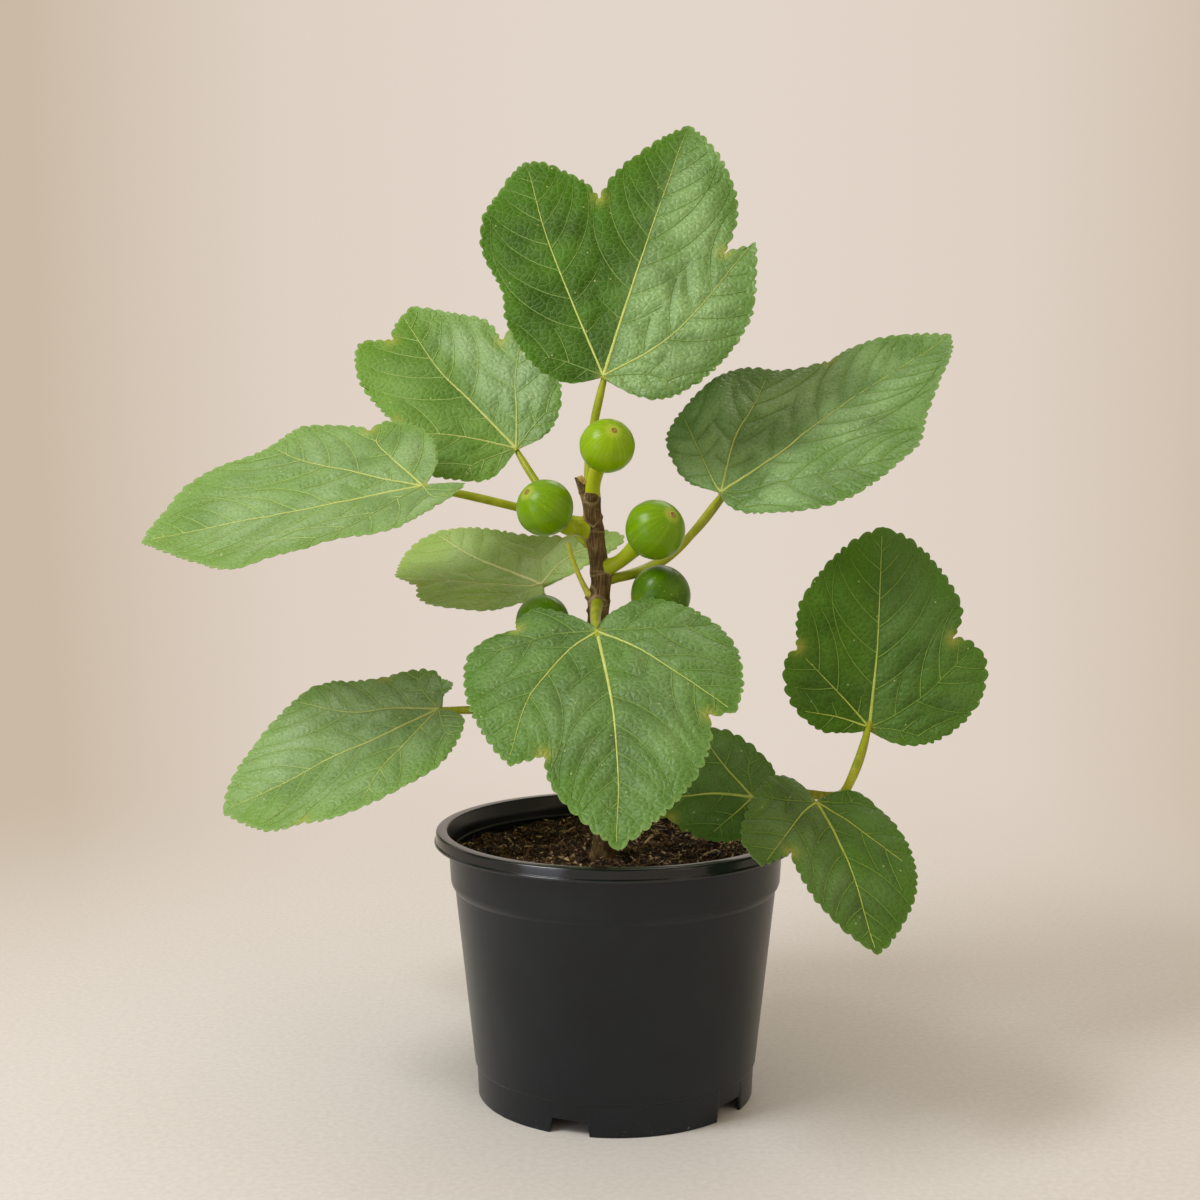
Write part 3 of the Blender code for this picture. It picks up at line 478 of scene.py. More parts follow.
# The trunk: one slender young stem with thin grey-brown bark, finely lined lengthwise, swollen
# and ringed with scars where leaves have been. It flares at the soil, and at its top a side shoot
# has been pruned to a short stub with a slanting cut.
TRUNK_LINE = (
    (-9.0, -24.0, 156.0, 6.2),
    (-9.0, -24.0, 164.0, 6.0),
    (-9.0, -24.3, 180.0, 5.9),
    (-11.5, -25.5, 230.0, 6.4),
    (-12.5, -26.5, 280.0, 6.7),
    (-11.0, -27.0, 326.0, 6.6),
    (-9.6, -27.5, 345.0, 6.1),
    (-12.1, -27.5, 365.0, 5.8),
    (-14.7, -27.5, 384.0, 5.7),
    (-15.9, -27.5, 398.5, 5.5),
    (-16.0, -27.5, 402.5, 5.3),
)
FLARE = 3.2 * MM
FLARE_LEVEL = 161.8 * MM
FLARE_HEIGHT = 8 * MM
FLARE_ROOTS = 5
NODE_HEIGHTS = (207, 259, 286, 313, 331, 350, 377, 397)
NODE_SWELL = 0.9 * MM
NODE_HALF_HEIGHT = 4 * MM
GAP = 0.3 * MM
TRUNK_ROWS = 560
TRUNK_COLUMNS = 96
TRUNK_MEAN_RADIUS_MM = 6.3
WART_COUNT = 90
STUB_ROWS = 60
STUB_COLUMNS = 48
STUB_FOOT = (-17.4, -28.0, 394.0)
STUB_TIP = (-23.6, -27.4, 411.5)
STUB_RADII = (3.9 * MM, 3.1 * MM)
STUB_CUT = (0.5, -0.55, 0.67)

# Where the stalks and necks grow from the trunk: height in mm and degrees round from +X.
TRUNK_ROOTS = {
    "leaf_top": (396, 100), "leaf_upper_left": (369, 140), "leaf_far_left": (382, 172),
    "leaf_mid_left": (298, 125), "leaf_lower_left": (259, 178), "leaf_front": (330, -99),
    "leaf_right": (346, 12), "leaf_back_top": (382, 99), "leaf_back_low": (286, 88),
    "leaf_back_right": (343, 66), "leaf_back_left": (250, 128), "bare_leaf_stalk": (336, 196),
    "fig_top": (399, -85), "fig_left": (377, -172), "fig_right": (353, -16),
    "fig_low_right": (312, -30), "fig_low_left": (300, 205), "fig_back": (268, 75),
}

# Old leaf scars and buds that stand out: height in mm, side in degrees, size and height in mm.
KNOBS = (
    (385, -12, 1.8, 1.1), (333, 184, 1.6, 1.8), (325, 190, 1.5, 1.4), (350, -16, 3.0, 1.2),
    (232, -60, 1.8, 1.0), (222, 150, 1.8, 1.0), (190, 20, 1.6, 0.8), (243, 30, 1.8, 1.0),
)


def smooth_line(rows, count):
    """Rows of numbers on a Catmull-Rom curve through given rows, evenly spaced between them."""
    rows = np.asarray(rows, float)
    ends = np.vstack([2 * rows[0] - rows[1], rows, 2 * rows[-1] - rows[-2]])
    place = np.linspace(0, len(rows) - 1, count)
    span = np.minimum(place.astype(int), len(rows) - 2)
    t = (place - span)[:, None]
    a, b, c, d = (ends[span + step] for step in range(4))
    return 0.5 * (
        2 * b + (c - a) * t + (2 * a - 5 * b + 4 * c - d) * t**2 + (3 * b - a - 3 * c + d) * t**3
    )


def limb_rings(line, radii, columns, first_axis=None, zero=(0.95, -0.31, 0.1)):
    """Rings of points round a line, carried along it without twisting.

    Each ring is the line's point plus its radius times the cosine and sine of the turn along
    two directions across the line, the first of them near zero; radii has a row for each ring,
    of one or columns values.
    """
    line = np.asarray(line, float)
    along = np.gradient(line, axis=0)
    along /= np.linalg.norm(along, axis=1)[:, None]
    if first_axis is not None:
        along[0] = first_axis
    across = np.array(zero)
    spread = []
    turn = np.linspace(0, 2 * math.pi, columns, endpoint=False)
    for way in along:
        across = across - way * across.dot(way)
        across /= np.linalg.norm(across)
        spread.append(np.outer(np.cos(turn), across) + np.outer(np.sin(turn), np.cross(way, across)))
    return line[:, None] + np.stack(spread) * np.reshape(radii, (len(line), -1, 1))


def trunk_at(height):
    """The trunk's centre point and radius at a height in metres."""
    rows = np.asarray(TRUNK_LINE) * MM
    centre = [np.interp(height, rows[:, 2], rows[:, axis]) for axis in (0, 1)]
    return np.array([*centre, height]), np.interp(height, rows[:, 2], rows[:, 3])


rows = smooth_line(np.asarray(TRUNK_LINE) * MM, 220)
levels = np.linspace(rows[0, 2], rows[-1, 2], TRUNK_ROWS)
line = np.stack([np.interp(levels, rows[:, 2], rows[:, axis]) for axis in (0, 1)] + [levels], 1)
turns = np.linspace(0, 2 * math.pi, TRUNK_COLUMNS, endpoint=False)[None]
level = levels[:, None]
radii = np.interp(levels, rows[:, 2], rows[:, 3])[:, None] + 0 * turns
flare = FLARE * np.exp(-np.maximum(level - FLARE_LEVEL, 0) / FLARE_HEIGHT)
radii = radii + flare * (1 + 0.45 * np.cos(FLARE_ROOTS * turns))

# Bark relief: fine lengthwise lines and shallow broad ones, from noise stretched up the stem.
cells = turns / (2 * math.pi)
lines = lumps(cells * 64, level / (7 * MM), 21) - 0.5
broad = lumps(cells * 16, level / (16 * MM), 22, wrap=16) - 0.5
radii = radii + (0.16 * lines + 0.5 * broad) * MM

# Nodes: a swelling with two ring scars close together, each a low ridge that dips on one side
# and fades in and out round the stem.
pale = np.zeros_like(radii)
for number, node in enumerate(NODE_HEIGHTS):
    swell = np.exp(-(((level - node * MM) / NODE_HALF_HEIGHT) ** 2))
    radii = radii + 0.7 * NODE_SWELL * swell
    for step in (-1.4, 1.2):
        ring_level = node + step + 1.1 * np.cos(turns + 1.7 * number + step)
        strength = lumps(cells * 8, 0 * cells + 2 * number + 0.6 * step, 24, wrap=8)
        ring = strength * np.exp(-(((level / MM - ring_level) / 0.5) ** 2))
        radii = radii + 0.26 * MM * ring
        pale = np.maximum(pale, 0.55 * ring)

# Every root of a stalk or neck swells the bark round it and leaves a pale rim; knobs do likewise.
bumps = [(*root, 4.6, 1.0, 0.45) for root in TRUNK_ROOTS.values()]
bumps += [(*knob, -0.1) for knob in KNOBS]
for height, side, size, rise, light in bumps:
    turn_off = (turns - math.radians(side) + math.pi) % (2 * math.pi) - math.pi
    apart = np.hypot(turn_off * TRUNK_MEAN_RADIUS_MM, level / MM - height) / size
    radii = radii + rise * MM * np.exp(-(apart**2))
    pale = pale + light * np.exp(-(((apart - 1.15) / 0.2) ** 2))

# Lenticels: small pale warts, wider than high, scattered over the bark.
draw = np.random.default_rng(8)
wart_heights = draw.uniform(170, 396, WART_COUNT)
for height, side in zip(wart_heights, draw.uniform(0, 2 * math.pi, WART_COUNT)):
    sideways = ((turns - side + math.pi) % (2 * math.pi) - math.pi) * TRUNK_MEAN_RADIUS_MM
    wart = np.exp(-((sideways / 0.75) ** 2) - ((level / MM - height) / 0.4) ** 2)
    radii = radii + 0.22 * MM * wart
    pale = pale + 0.6 * wart

# The scar of a fallen leaf under the top fig: a pale V across the front.
sideways = (turns + math.radians(92) + math.pi) % (2 * math.pi) - math.pi
sideways = sideways * TRUNK_MEAN_RADIUS_MM
chevron = level / MM - (379.5 + 0.75 * np.abs(sideways))
scar = np.exp(-((chevron / 0.5) ** 2) - (sideways / 4.2) ** 4)
radii = radii + 0.25 * MM * scar
pale = pale + 0.7 * scar
top_share = np.clip((levels - 400.4 * MM) / (levels[-1] - 400.4 * MM), 0, 0.995)
radii = radii * np.sqrt(1 - top_share**2)[:, None]
stem_points, stem_faces = ring_solid(limb_rings(line, radii, TRUNK_COLUMNS, zero=(1.0, 0.0, 0.0)))
stem_pale = np.concatenate([[0], pale.ravel(), [0]])

# The stub: a bark tube whose last ring is cut by a slanting plane, closed by a disc of bare wood.
way = np.array(STUB_TIP) - np.array(STUB_FOOT)
way /= np.linalg.norm(way)
share = np.linspace(0, 1, STUB_ROWS)[:, None]
stub_line = (np.array(STUB_FOOT) * (1 - share) + np.array(STUB_TIP) * share) * MM
turns = np.linspace(0, 2 * math.pi, STUB_COLUMNS, endpoint=False)[None]
grain = lumps(turns / (2 * math.pi) * 32, share * 4, 23, wrap=32) - 0.5
stub_radii = STUB_RADII[0] * (1 - share) + STUB_RADII[1] * share + 0.5 * MM * grain
stub_radii = stub_radii + 0.35 * MM * np.exp(-(((share - 0.45) / 0.05) ** 2))
stub_rings = limb_rings(stub_line, stub_radii, STUB_COLUMNS)
cut = np.array(STUB_CUT) / np.linalg.norm(STUB_CUT)
over = np.maximum((stub_rings - stub_line[-1]) @ cut, 0) / (way @ cut)
stub_rings = stub_rings - over[..., None] * way
stub_points, stub_faces = ring_solid(stub_rings)
points, faces, kinds = joined([(stem_points, stem_faces, 0), (stub_points, stub_faces, 0)])
kinds[-len(stub_faces[-1]) :] = 1
stub_pale = np.zeros(len(stub_points))


def bark_finish(name, deep, middle, light, scar):
    """Thin young bark: fibres stretched 12 times up the stem, pale scars where marked."""
    finish, tree, shader = new_finish(name, {"Roughness": 0.78, "Specular IOR Level": 0.22})
    place = add_node(tree, "TexCoord").outputs["Object"]
    tall = add_node(tree, "Mapping", {"Scale": (1, 1, 0.085)}, {"Vector": place}).outputs[0]
    fibre = add_node(tree, "TexNoise", {"Scale": 1 / (0.9 * MM), "Detail": 3.0}, {"Vector": tall})
    patch = add_node(tree, "TexNoise", {"Scale": 1 / (9 * MM), "Detail": 3.0}, {"Vector": place})
    both = add_node(
        tree, "Mix", {0: 0.45}, {2: fibre.outputs["Fac"], 3: patch.outputs["Fac"]}
    )
    tint = add_node(
        tree, "ValToRGB", {"stops": [(0.32, deep), (0.5, middle), (0.68, light)]},
        {0: both.outputs[0]},
    )
    mark = add_node(tree, "Attribute", {"attribute_name": "pale"}).outputs["Fac"]
    marked = add_node(
        tree, "Mix", {"data_type": "RGBA", 7: linear(scar)}, {0: mark, 6: tint.outputs["Color"]}
    )
    rough = add_node(tree, "Bump", {"Distance": 0.3 * MM}, {"Height": fibre.outputs["Fac"]})
    tree.links.new(marked.outputs[2], shader.inputs["Base Color"])
    tree.links.new(rough.outputs["Normal"], shader.inputs["Normal"])
    return finish


# Fig bark is grey-brown with pale tan scars. The cut wood is dry and yellowish, darker where it
# has checked.
bark = bark_finish("young fig bark", "261b0d", "5a4729", "92794f", "b39e76")
cut_wood, tree, shader = new_finish("dry cut wood", {"Roughness": 0.8})
place = add_node(tree, "TexCoord").outputs["Object"]
check = add_node(tree, "TexNoise", {"Scale": 1 / (1.1 * MM), "Detail": 3.0}, {"Vector": place})
tint = add_node(
    tree, "ValToRGB", {"stops": [(0.32, "6e5230"), (0.5, "b3955a"), (0.7, "cfb57c")]},
    {0: check.outputs["Fac"]},
)
tree.links.new(tint.outputs["Color"], shader.inputs["Base Color"])
trunk = make_piece(
    "bark_trunk", points, faces, [bark, cut_wood], kinds=kinds,
    marks={"pale": np.concatenate([stem_pale, stub_pale])},
)
hang(trunk, "bark", "trunk")


# The low side bough: a thin young shoot, still olive, that leaves the trunk a hand above the soil
# and runs out over the rim to a pointed brown bud. It carries the leaves on the right.
BOUGH_HEIGHT = 207 * MM
BOUGH_WAY = (1.0, -0.2, 0.0)
BOUGH_LINE = (
    (20.0, -31.0, 207.5, 4.4),
    (60.0, -33.5, 210.5, 3.9),
    (105.0, -32.5, 208.5, 3.3),
    (146.0, -30.0, 203.6, 2.5),
)
BOUGH_RADIUS = 5.0 * MM
BOUGH_GAP = 0.9 * MM
BOUGH_NODES = (0.3, 0.62, 0.8, 0.97)
BOUGH_ROWS = 200
BOUGH_COLUMNS = 40

way = np.array(Vector(BOUGH_WAY).normalized())
centre, trunk_radius = trunk_at(BOUGH_HEIGHT)
start = np.append(centre + way * (trunk_radius + NODE_SWELL + GAP), BOUGH_RADIUS)
bough_rows = smooth_line(np.vstack([start, np.asarray(BOUGH_LINE) * MM]), 11)
foot = bough_rows[0] - np.append(way * 5 * MM, 0)
rows = smooth_line(np.vstack([foot, bough_rows]), BOUGH_ROWS)
share = np.linspace(0, 1, BOUGH_ROWS)[:, None]
turns = np.linspace(0, 2 * math.pi, BOUGH_COLUMNS, endpoint=False)[None]
lines = lumps(turns / (2 * math.pi) * 32, share * 30, 31, wrap=32) - 0.5
radii = rows[:, 3:] + 0.35 * MM * lines
radii = radii + 1.8 * MM * np.exp(-share / 0.035)
pale = 0 * radii
for place in BOUGH_NODES:
    radii = radii + 0.55 * MM * np.exp(-(((share - place) / 0.02) ** 2))
    ring = np.exp(-(((share - place + 0.012 * np.cos(turns + 9 * place)) / 0.004) ** 2))
    radii = radii + 0.2 * MM * ring
    pale = pale + 0.8 * ring
bough_points, bough_faces = ring_solid(limb_rings(rows[:, :3], radii, BOUGH_COLUMNS))

# The bud: a tapering cone of bud scales that goes on from the bough's tip.
tip = bough_rows[-1, :3]
bud_way = np.array(Vector((0.62, -0.1, 0.8)).normalized())
share = np.linspace(0, 1, 24)[:, None]
bud_line = tip - bud_way * MM + bud_way * share * 8 * MM
bud_radii = 2.1 * MM * np.sqrt(np.clip(1 - share, 0, 1)) * (1 - 0.35 * share)
bud_radii = np.maximum(bud_radii * (1 + 0.05 * np.cos(5 * turns + 4 * share)), 0.05 * MM)
bud_points, bud_faces = ring_solid(limb_rings(bud_line, bud_radii, BOUGH_COLUMNS))
points, faces, kinds = joined([(bough_points, bough_faces, 0), (bud_points, bud_faces, 1)])
bough_pale = np.concatenate([[0], pale.ravel(), np.zeros(1 + len(bud_points))])

# Young bark is olive green, lighter on its ridges; bud scales are dark and papery.
green_bark = bark_finish("olive shoot bark", "5c5c18", "8a9028", "a4a842", "bdb878")
bud_scale, tree, shader = new_finish(
    "fig bud scales", {"Roughness": 0.6, "Base Color": linear("4a3620")}
)
bough = make_piece(
    "bark_low_side_bough", points, faces, [green_bark, bud_scale], kinds=kinds,
    marks={"pale": bough_pale},
)
hang(bough, "bark", "low_side_bough")


# The leaves: palmate fig leaves, each with a thin quilted blade, rounded teeth, pale veins that
# stand out on both faces, and a fleshy stalk that swells where it grows from the trunk or bough.

# The outline of each flat leaf, as knots of (degrees from the midrib, mm from the stalk), with
# the leaf's left positive. A third entry marks a lobe's point or the foot of a notch.
OUTLINES = {
    "top": (
        (0, 197, "point"), (8, 168), (14, 146), (18, 129, "notch"), (24, 146), (35, 167),
        (48, 149), (57, 125), (63, 92), (75, 73), (94, 47), (115, 26), (150, 2.2, "notch"),
        (-103, 36), (-84, 57), (-67, 79), (-53, 101), (-40, 118), (-31, 134, "point"),
        (-27, 114, "notch"), (-20, 147), (-10, 173),
    ),
    "upper left": (
        (0, 146, "point"), (7, 139), (12, 129, "notch"), (19, 144), (29, 126), (38, 99),
        (44, 84, "notch"), (58, 84), (74, 64), (91, 44), (112, 29), (150, 2.2, "notch"),
        (-98, 22), (-78, 41), (-60, 60), (-45, 84), (-34, 101, "point"), (-24, 86, "notch"),
        (-19, 108), (-9, 125),
    ),
    "far left": (
        (0, 184, "point"), (9, 167), (20, 147), (31, 133), (42, 102), (52, 78), (74, 60),
        (100, 39), (135, 29), (172, 27, "point"), (-165, 2.2, "notch"), (-112, 25), (-90, 56),
        (-73, 77), (-62, 76, "notch"), (-53, 101), (-44, 115), (-30, 127), (-22, 155),
        (-11, 171),
    ),
    "mid left": (
        (0, 122, "point"), (8, 112), (16, 106, "point"), (27, 84, "notch"), (40, 81),
        (55, 70), (76, 54), (96, 38), (125, 18), (-170, 2.2, "notch"), (-137, 24), (-127, 46),
        (-118, 67), (-104, 64), (-81, 47, "notch"), (-48, 55), (-32, 79), (-19, 108),
        (-9, 121),
    ),
    "lower left": (
        (0, 153, "point"), (9, 143), (19, 134), (26, 118, "notch"), (35, 109), (46, 92),
        (56, 77), (73, 60), (95, 39), (118, 24), (168, 2.2, "notch"), (-108, 29), (-82, 40),
        (-62, 50, "notch"), (-50, 68), (-42, 92), (-29, 108), (-19, 124), (-9, 141),
    ),
    "front": (
        (0, 160, "point"), (9, 147), (20, 132), (31, 114), (39, 97, "notch"),
        (46, 107, "point"), (60, 97), (78, 84), (102, 64), (128, 43), (144, 20),
        (180, 2.2, "notch"), (-137, 24), (-128, 46), (-114, 53), (-102, 50, "notch"),
        (-97, 67), (-84, 81), (-66, 90), (-45, 102), (-30, 114, "point"),
        (-22, 100, "notch"), (-16, 121), (-7, 142),
    ),
    "right": (
        (0, 197, "point"), (8, 174), (14, 152), (18, 131, "notch"), (32, 115), (48, 117),
        (64, 99), (84, 72), (104, 34), (150, 2.2, "notch"), (-103, 22), (-85, 46), (-69, 77),
        (-56, 99), (-38, 128), (-25, 140), (-14, 160), (-7, 180),
    ),
    "upright": (
        (0, 131, "point"), (9, 122), (21, 107), (34, 92), (46, 71, "notch"), (57, 70),
        (75, 56), (95, 35), (108, 14), (150, 2.2, "notch"), (-114, 25), (-94, 48), (-74, 73),
        (-57, 88), (-46, 87), (-40, 80, "notch"), (-34, 98), (-22, 111), (-10, 124),
    ),
    "lower right": (
        (0, 115, "point"), (9, 104), (26, 87), (44, 71), (62, 57), (84, 44), (108, 31),
        (160, 2.2, "notch"), (-161, 21), (-126, 31), (-92, 44), (-74, 61), (-60, 82),
        (-47, 86, "point"), (-40, 62, "notch"), (-31, 76), (-18, 92), (-7, 106),
    ),
    "inner right": (
        (0, 88, "point"), (12, 68), (20, 55, "notch"), (33, 49), (52, 41), (76, 32),
        (100, 18), (150, 2.2, "notch"), (-128, 22), (-92, 32), (-68, 49), (-50, 60, "point"),
        (-38, 50, "notch"), (-24, 66), (-10, 78),
    ),
}

# The main veins of each outline, from the stalk towards the lobes, in the same measures.
MAIN_VEINS = {
    "top": (
        ((0, 58), (0, 111), (0, 190)), ((38, 55), (37, 111), (35, 160)),
        ((-46, 41), (-38, 78), (-31, 128)), ((84, 28), (88, 46)), ((-76, 30), (-84, 50)),
    ),
    "upper left": (
        ((8, 51), (8, 86), (4, 140)), ((-32, 29), (-31, 55), (-34, 96)),
        ((44, 36), (47, 60), (52, 78)), ((82, 28), (88, 40)), ((-70, 28), (-76, 38)),
    ),
    "far left": (
        ((9, 46), (6, 90), (3, 130), (0, 178)), ((-25, 29), (-28, 54), (-29, 88), (-33, 118)),
        ((-57, 33), (-59, 59), (-66, 72)), ((48, 36), (47, 60), (40, 96)), ((110, 20), (128, 27)),
    ),
    "mid left": (
        ((-10, 47), (-12, 74), (-15, 108)), ((41, 14), (22, 59), (18, 96)),
        ((-100, 28), (-113, 58)), ((70, 24), (66, 52)), ((-55, 28), (-52, 48)),
    ),
    "lower left": (
        ((6, 44), (2, 74), (3, 109), (0, 148)), ((-30, 32), (-27, 59), (-34, 98)),
        ((40, 34), (38, 62), (42, 90)), ((84, 28), (92, 36)), ((-78, 24), (-86, 36)),
    ),
    "front": (
        ((5, 47), (4, 77), (2, 118), (0, 155)), ((51, 29), (47, 56), (46, 101)),
        ((-50, 22), (-43, 50), (-40, 70), (-32, 107)), ((85, 29), (88, 50), (90, 68)),
        ((-91, 26), (-84, 51), (-86, 72)),
    ),
    "right": (
        ((-6, 46), (-1, 88), (0, 190)), ((41, 46), (36, 77), (36, 104)), ((77, 15), (72, 80)),
        ((-59, 18), (-47, 37), (-43, 80), (-41, 116)), ((-84, 20), (-90, 34)),
    ),
    "upright": (
        ((-3, 34), (-2, 62), (0, 125)), ((46, 24), (47, 62)), ((76, 22), (80, 44)),
        ((-61, 17), (-56, 43), (-52, 59), (-50, 80)), ((-92, 18), (-98, 38)),
    ),
    "lower right": (
        ((3, 35), (2, 60), (0, 110)), ((-52, 20), (-48, 50), (-47, 79)), ((42, 20), (40, 64)),
        ((-82, 24), (-86, 42)), ((88, 22), (98, 30)),
    ),
    "inner right": (
        ((-2, 23), (3, 44), (4, 76)), ((-47, 28), (-50, 53)), ((50, 16), (48, 36)),
        ((-80, 20), (-88, 28)),
    ),
}

# How each leaf sits: where its stalk meets the blade (mm), the way the midrib points (degrees
# round from +X and up), the roll about it, the fall of the midrib to its tip, the rise of each
# half blade beside it and how far that turns down by the edge. Then the stalk: how steeply it
# leaves, its two pulls (mm) and how far it drops below the blade. On the bough its root is a
# share of the length and degrees from straight up, to the back. Last come the leaf's tone, by its
# age or, for the sunned tone, painted paler as painted light for a leaf in shade, and how strong
# the painted sheen, a pale painted reflection, is on its left and its right half. The front
# leaf's stalk is thicker than the others, and flares less.
LEAVES = {
    "leaf_top": dict(
        outline="top", at=(-8, -20, 475), heading=48, rise=65, roll=32, bend=12, fold=6, sag=10,
        root_lift=2.0, root_pull=40, blade_pull=26, blade_drop=0.56, tone="grown",
        sheen=(0.1, 1.1),
    ),
    "leaf_upper_left": dict(
        outline="upper left", at=(-66, 30, 428), heading=140, rise=46, roll=-45, bend=12, fold=8,
        sag=12, root_lift=0.5, root_pull=20, blade_pull=30, blade_drop=0.2, tone="young",
        sheen=(0.2, 0.9),
    ),
    "leaf_far_left": dict(
        outline="far left", at=(-121, -50, 406), heading=179, rise=-7, roll=-30, bend=10, fold=9,
        sag=6, root_lift=0.2, root_pull=48, blade_pull=28, blade_drop=0.2, tone="young",
        sheen=(0.85, 0.7),
    ),
    "leaf_mid_left": dict(
        outline="mid left", at=(-50, 30, 337), heading=149, rise=9, roll=-28, bend=10, fold=12,
        sag=6, root_lift=0.1, root_pull=16, blade_pull=14, blade_drop=1.1, tone="shade_lifted",
        sheen=(0.4, 0.8),
    ),
    "leaf_lower_left": dict(
        outline="lower left", at=(-115, -20, 260), heading=-167, rise=-19, roll=-29, bend=14,
        fold=10, sag=10, root_lift=0.0, root_pull=40, blade_pull=30, blade_drop=0.25,
        tone="young", sheen=(0.7, 1.0),
    ),
    "leaf_front": dict(
        outline="front", at=(-12, -85, 318), heading=-86, rise=-33, roll=7, bend=22, fold=4,
        sag=14, root_lift=-0.6, root_pull=16, blade_pull=18, blade_drop=0.1, tone="grown",
        sheen=(0.7, 0.55), stalk_size=1.25, stalk_flare=0.3,
    ),
    "leaf_right": dict(
        outline="right", at=(69, 0, 400), heading=16, rise=36, roll=29, bend=10, fold=8, sag=10,
        root_lift=0.1, root_pull=40, blade_pull=36, blade_drop=0.4, tone="grown", sheen=(1.5, 1.0),
    ),
    "leaf_upright": dict(
        outline="upright", at=(165, -20, 248), heading=71, rise=79, roll=22, bend=-10, fold=8,
        sag=12, bough_root=(1.0, -50), root_lift=-0.5, root_pull=23, blade_pull=18,
        blade_drop=-0.5, tone="old", sheen=(0.15, 0.45),
    ),
    "leaf_lower_right": dict(
        outline="lower right", at=(125, -70, 209), heading=-70, rise=-31, roll=-11, bend=20,
        fold=6, sag=10, bough_root=(0.8, -70), root_lift=0.0, root_pull=10, blade_pull=10,
        blade_drop=0.25, tone="old", sheen=(0.4, 0.7),
    ),
    "leaf_inner_right": dict(
        outline="inner right", at=(87, -50, 208), heading=180, rise=5, roll=-52, bend=14, fold=6,
        sag=10, bough_root=(0.62, -80), root_lift=0.0, root_pull=5, blade_pull=4,
        blade_drop=0.25, tone="old", sheen=(0.4, 0.6),
    ),
    "leaf_back_top": dict(
        outline="lower left", at=(-6.5, 58, 478), heading=72, rise=38, roll=0, bend=26, fold=8,
        sag=12, root_lift=0.8, root_pull=13, blade_pull=72, blade_drop=0.14, tone="grown",
        sheen=(0.4, 0.6),
    ),
    "leaf_back_low": dict(
        outline="front", at=(-3, 78, 290), heading=84, rise=-22, roll=4, bend=26, fold=6, sag=12,
        root_lift=0.4, root_pull=35, blade_pull=30, blade_drop=0.25, tone="grown", sheen=(0.5, 0.3),
    ),
    "leaf_back_right": dict(
        outline="lower right", at=(80, 88, 404), heading=38, rise=18, roll=10, bend=22, fold=8,
        sag=10, root_lift=0.9, root_pull=9, blade_pull=62, blade_drop=0.85, tone="young",
        sheen=(0.4, 0.5),
    ),
    "leaf_back_left": dict(
        outline="upright", at=(-143, 92, 240), heading=150, rise=-6, roll=-10, bend=26, fold=8,
        sag=10, root_lift=0.48, root_pull=24, blade_pull=5, blade_drop=-0.27, tone="grown",
        sheen=(0.5, 0.3),
    ),
    "leaf_bough_back": dict(
        outline="lower right", at=(172.5, 35, 247), heading=78, rise=26, roll=6, bend=24,
        fold=8, sag=10, bough_root=(1.0, 90), root_lift=-0.3, root_pull=5, blade_pull=38,
        blade_drop=0.5, tone="old", sheen=(0.3, 0.5),
    ),
}
BLADE_THICKNESS = 0.55 * MM
BLADE_HALF_WIDTH = 80 * MM
BLADE_RINGS = 54
TOOTH_PITCH = 7.5 * MM
TOOTH_DEPTH = 2.6 * MM
QUILTING = 2.1 * MM
QUILT_REACH = 3.2 * MM
VEIN_LIFT = 0.35 * MM
STALK_ROOT_RADIUS = 3.3 * MM
STALK_RADIUS = 2.7 * MM
STALK_SINK = 5 * MM
STALK_BURIED = 3.2 * MM


def polar(knots):
    """Points in the flat leaf from knots of (degrees, mm)."""
    angle = np.radians([knot[0] for knot in knots])
    reach = np.array([knot[1] for knot in knots]) * MM
    return np.stack([reach * np.cos(angle), reach * np.sin(angle)], axis=1)


def outline_points(knots, steps):
    """A closed curve through the knots of an outline, sharp at points and notches.

    Each span is a Hermite cubic: its slope at a smooth knot runs parallel to the line between
    the knots on either side, and at a corner it leaves a little outside the straight line.
    """
    corner = np.array([len(knot) > 2 for knot in knots])[:, None]
    spot = polar(knots)
    after = np.roll(spot, -1, axis=0) - spot
    before = np.roll(after, 1, axis=0)
    length = np.linalg.norm(after, axis=1)[:, None]
    past = np.roll(length, 1, axis=0)
    slope = (after + before) / (length + past)
    leaving = np.where(corner, 1.5 * after / length - 0.5 * np.roll(slope, -1, axis=0), slope)
    arriving = np.where(corner, 1.5 * before / past - 0.5 * np.roll(slope, 1, axis=0), slope)
    t = (np.arange(steps) / steps)[None, :, None]
    start, end = spot[:, None], np.roll(spot, -1, axis=0)[:, None]
    first, last = (leaving * length)[:, None], (np.roll(arriving, -1, axis=0) * length)[:, None]
    curve = (
        start * (2 * t**3 - 3 * t**2 + 1) + first * (t**3 - 2 * t**2 + t)
        + end * (3 * t**2 - 2 * t**3) + last * (t**3 - t**2)
    )
    return curve.reshape(-1, 2)


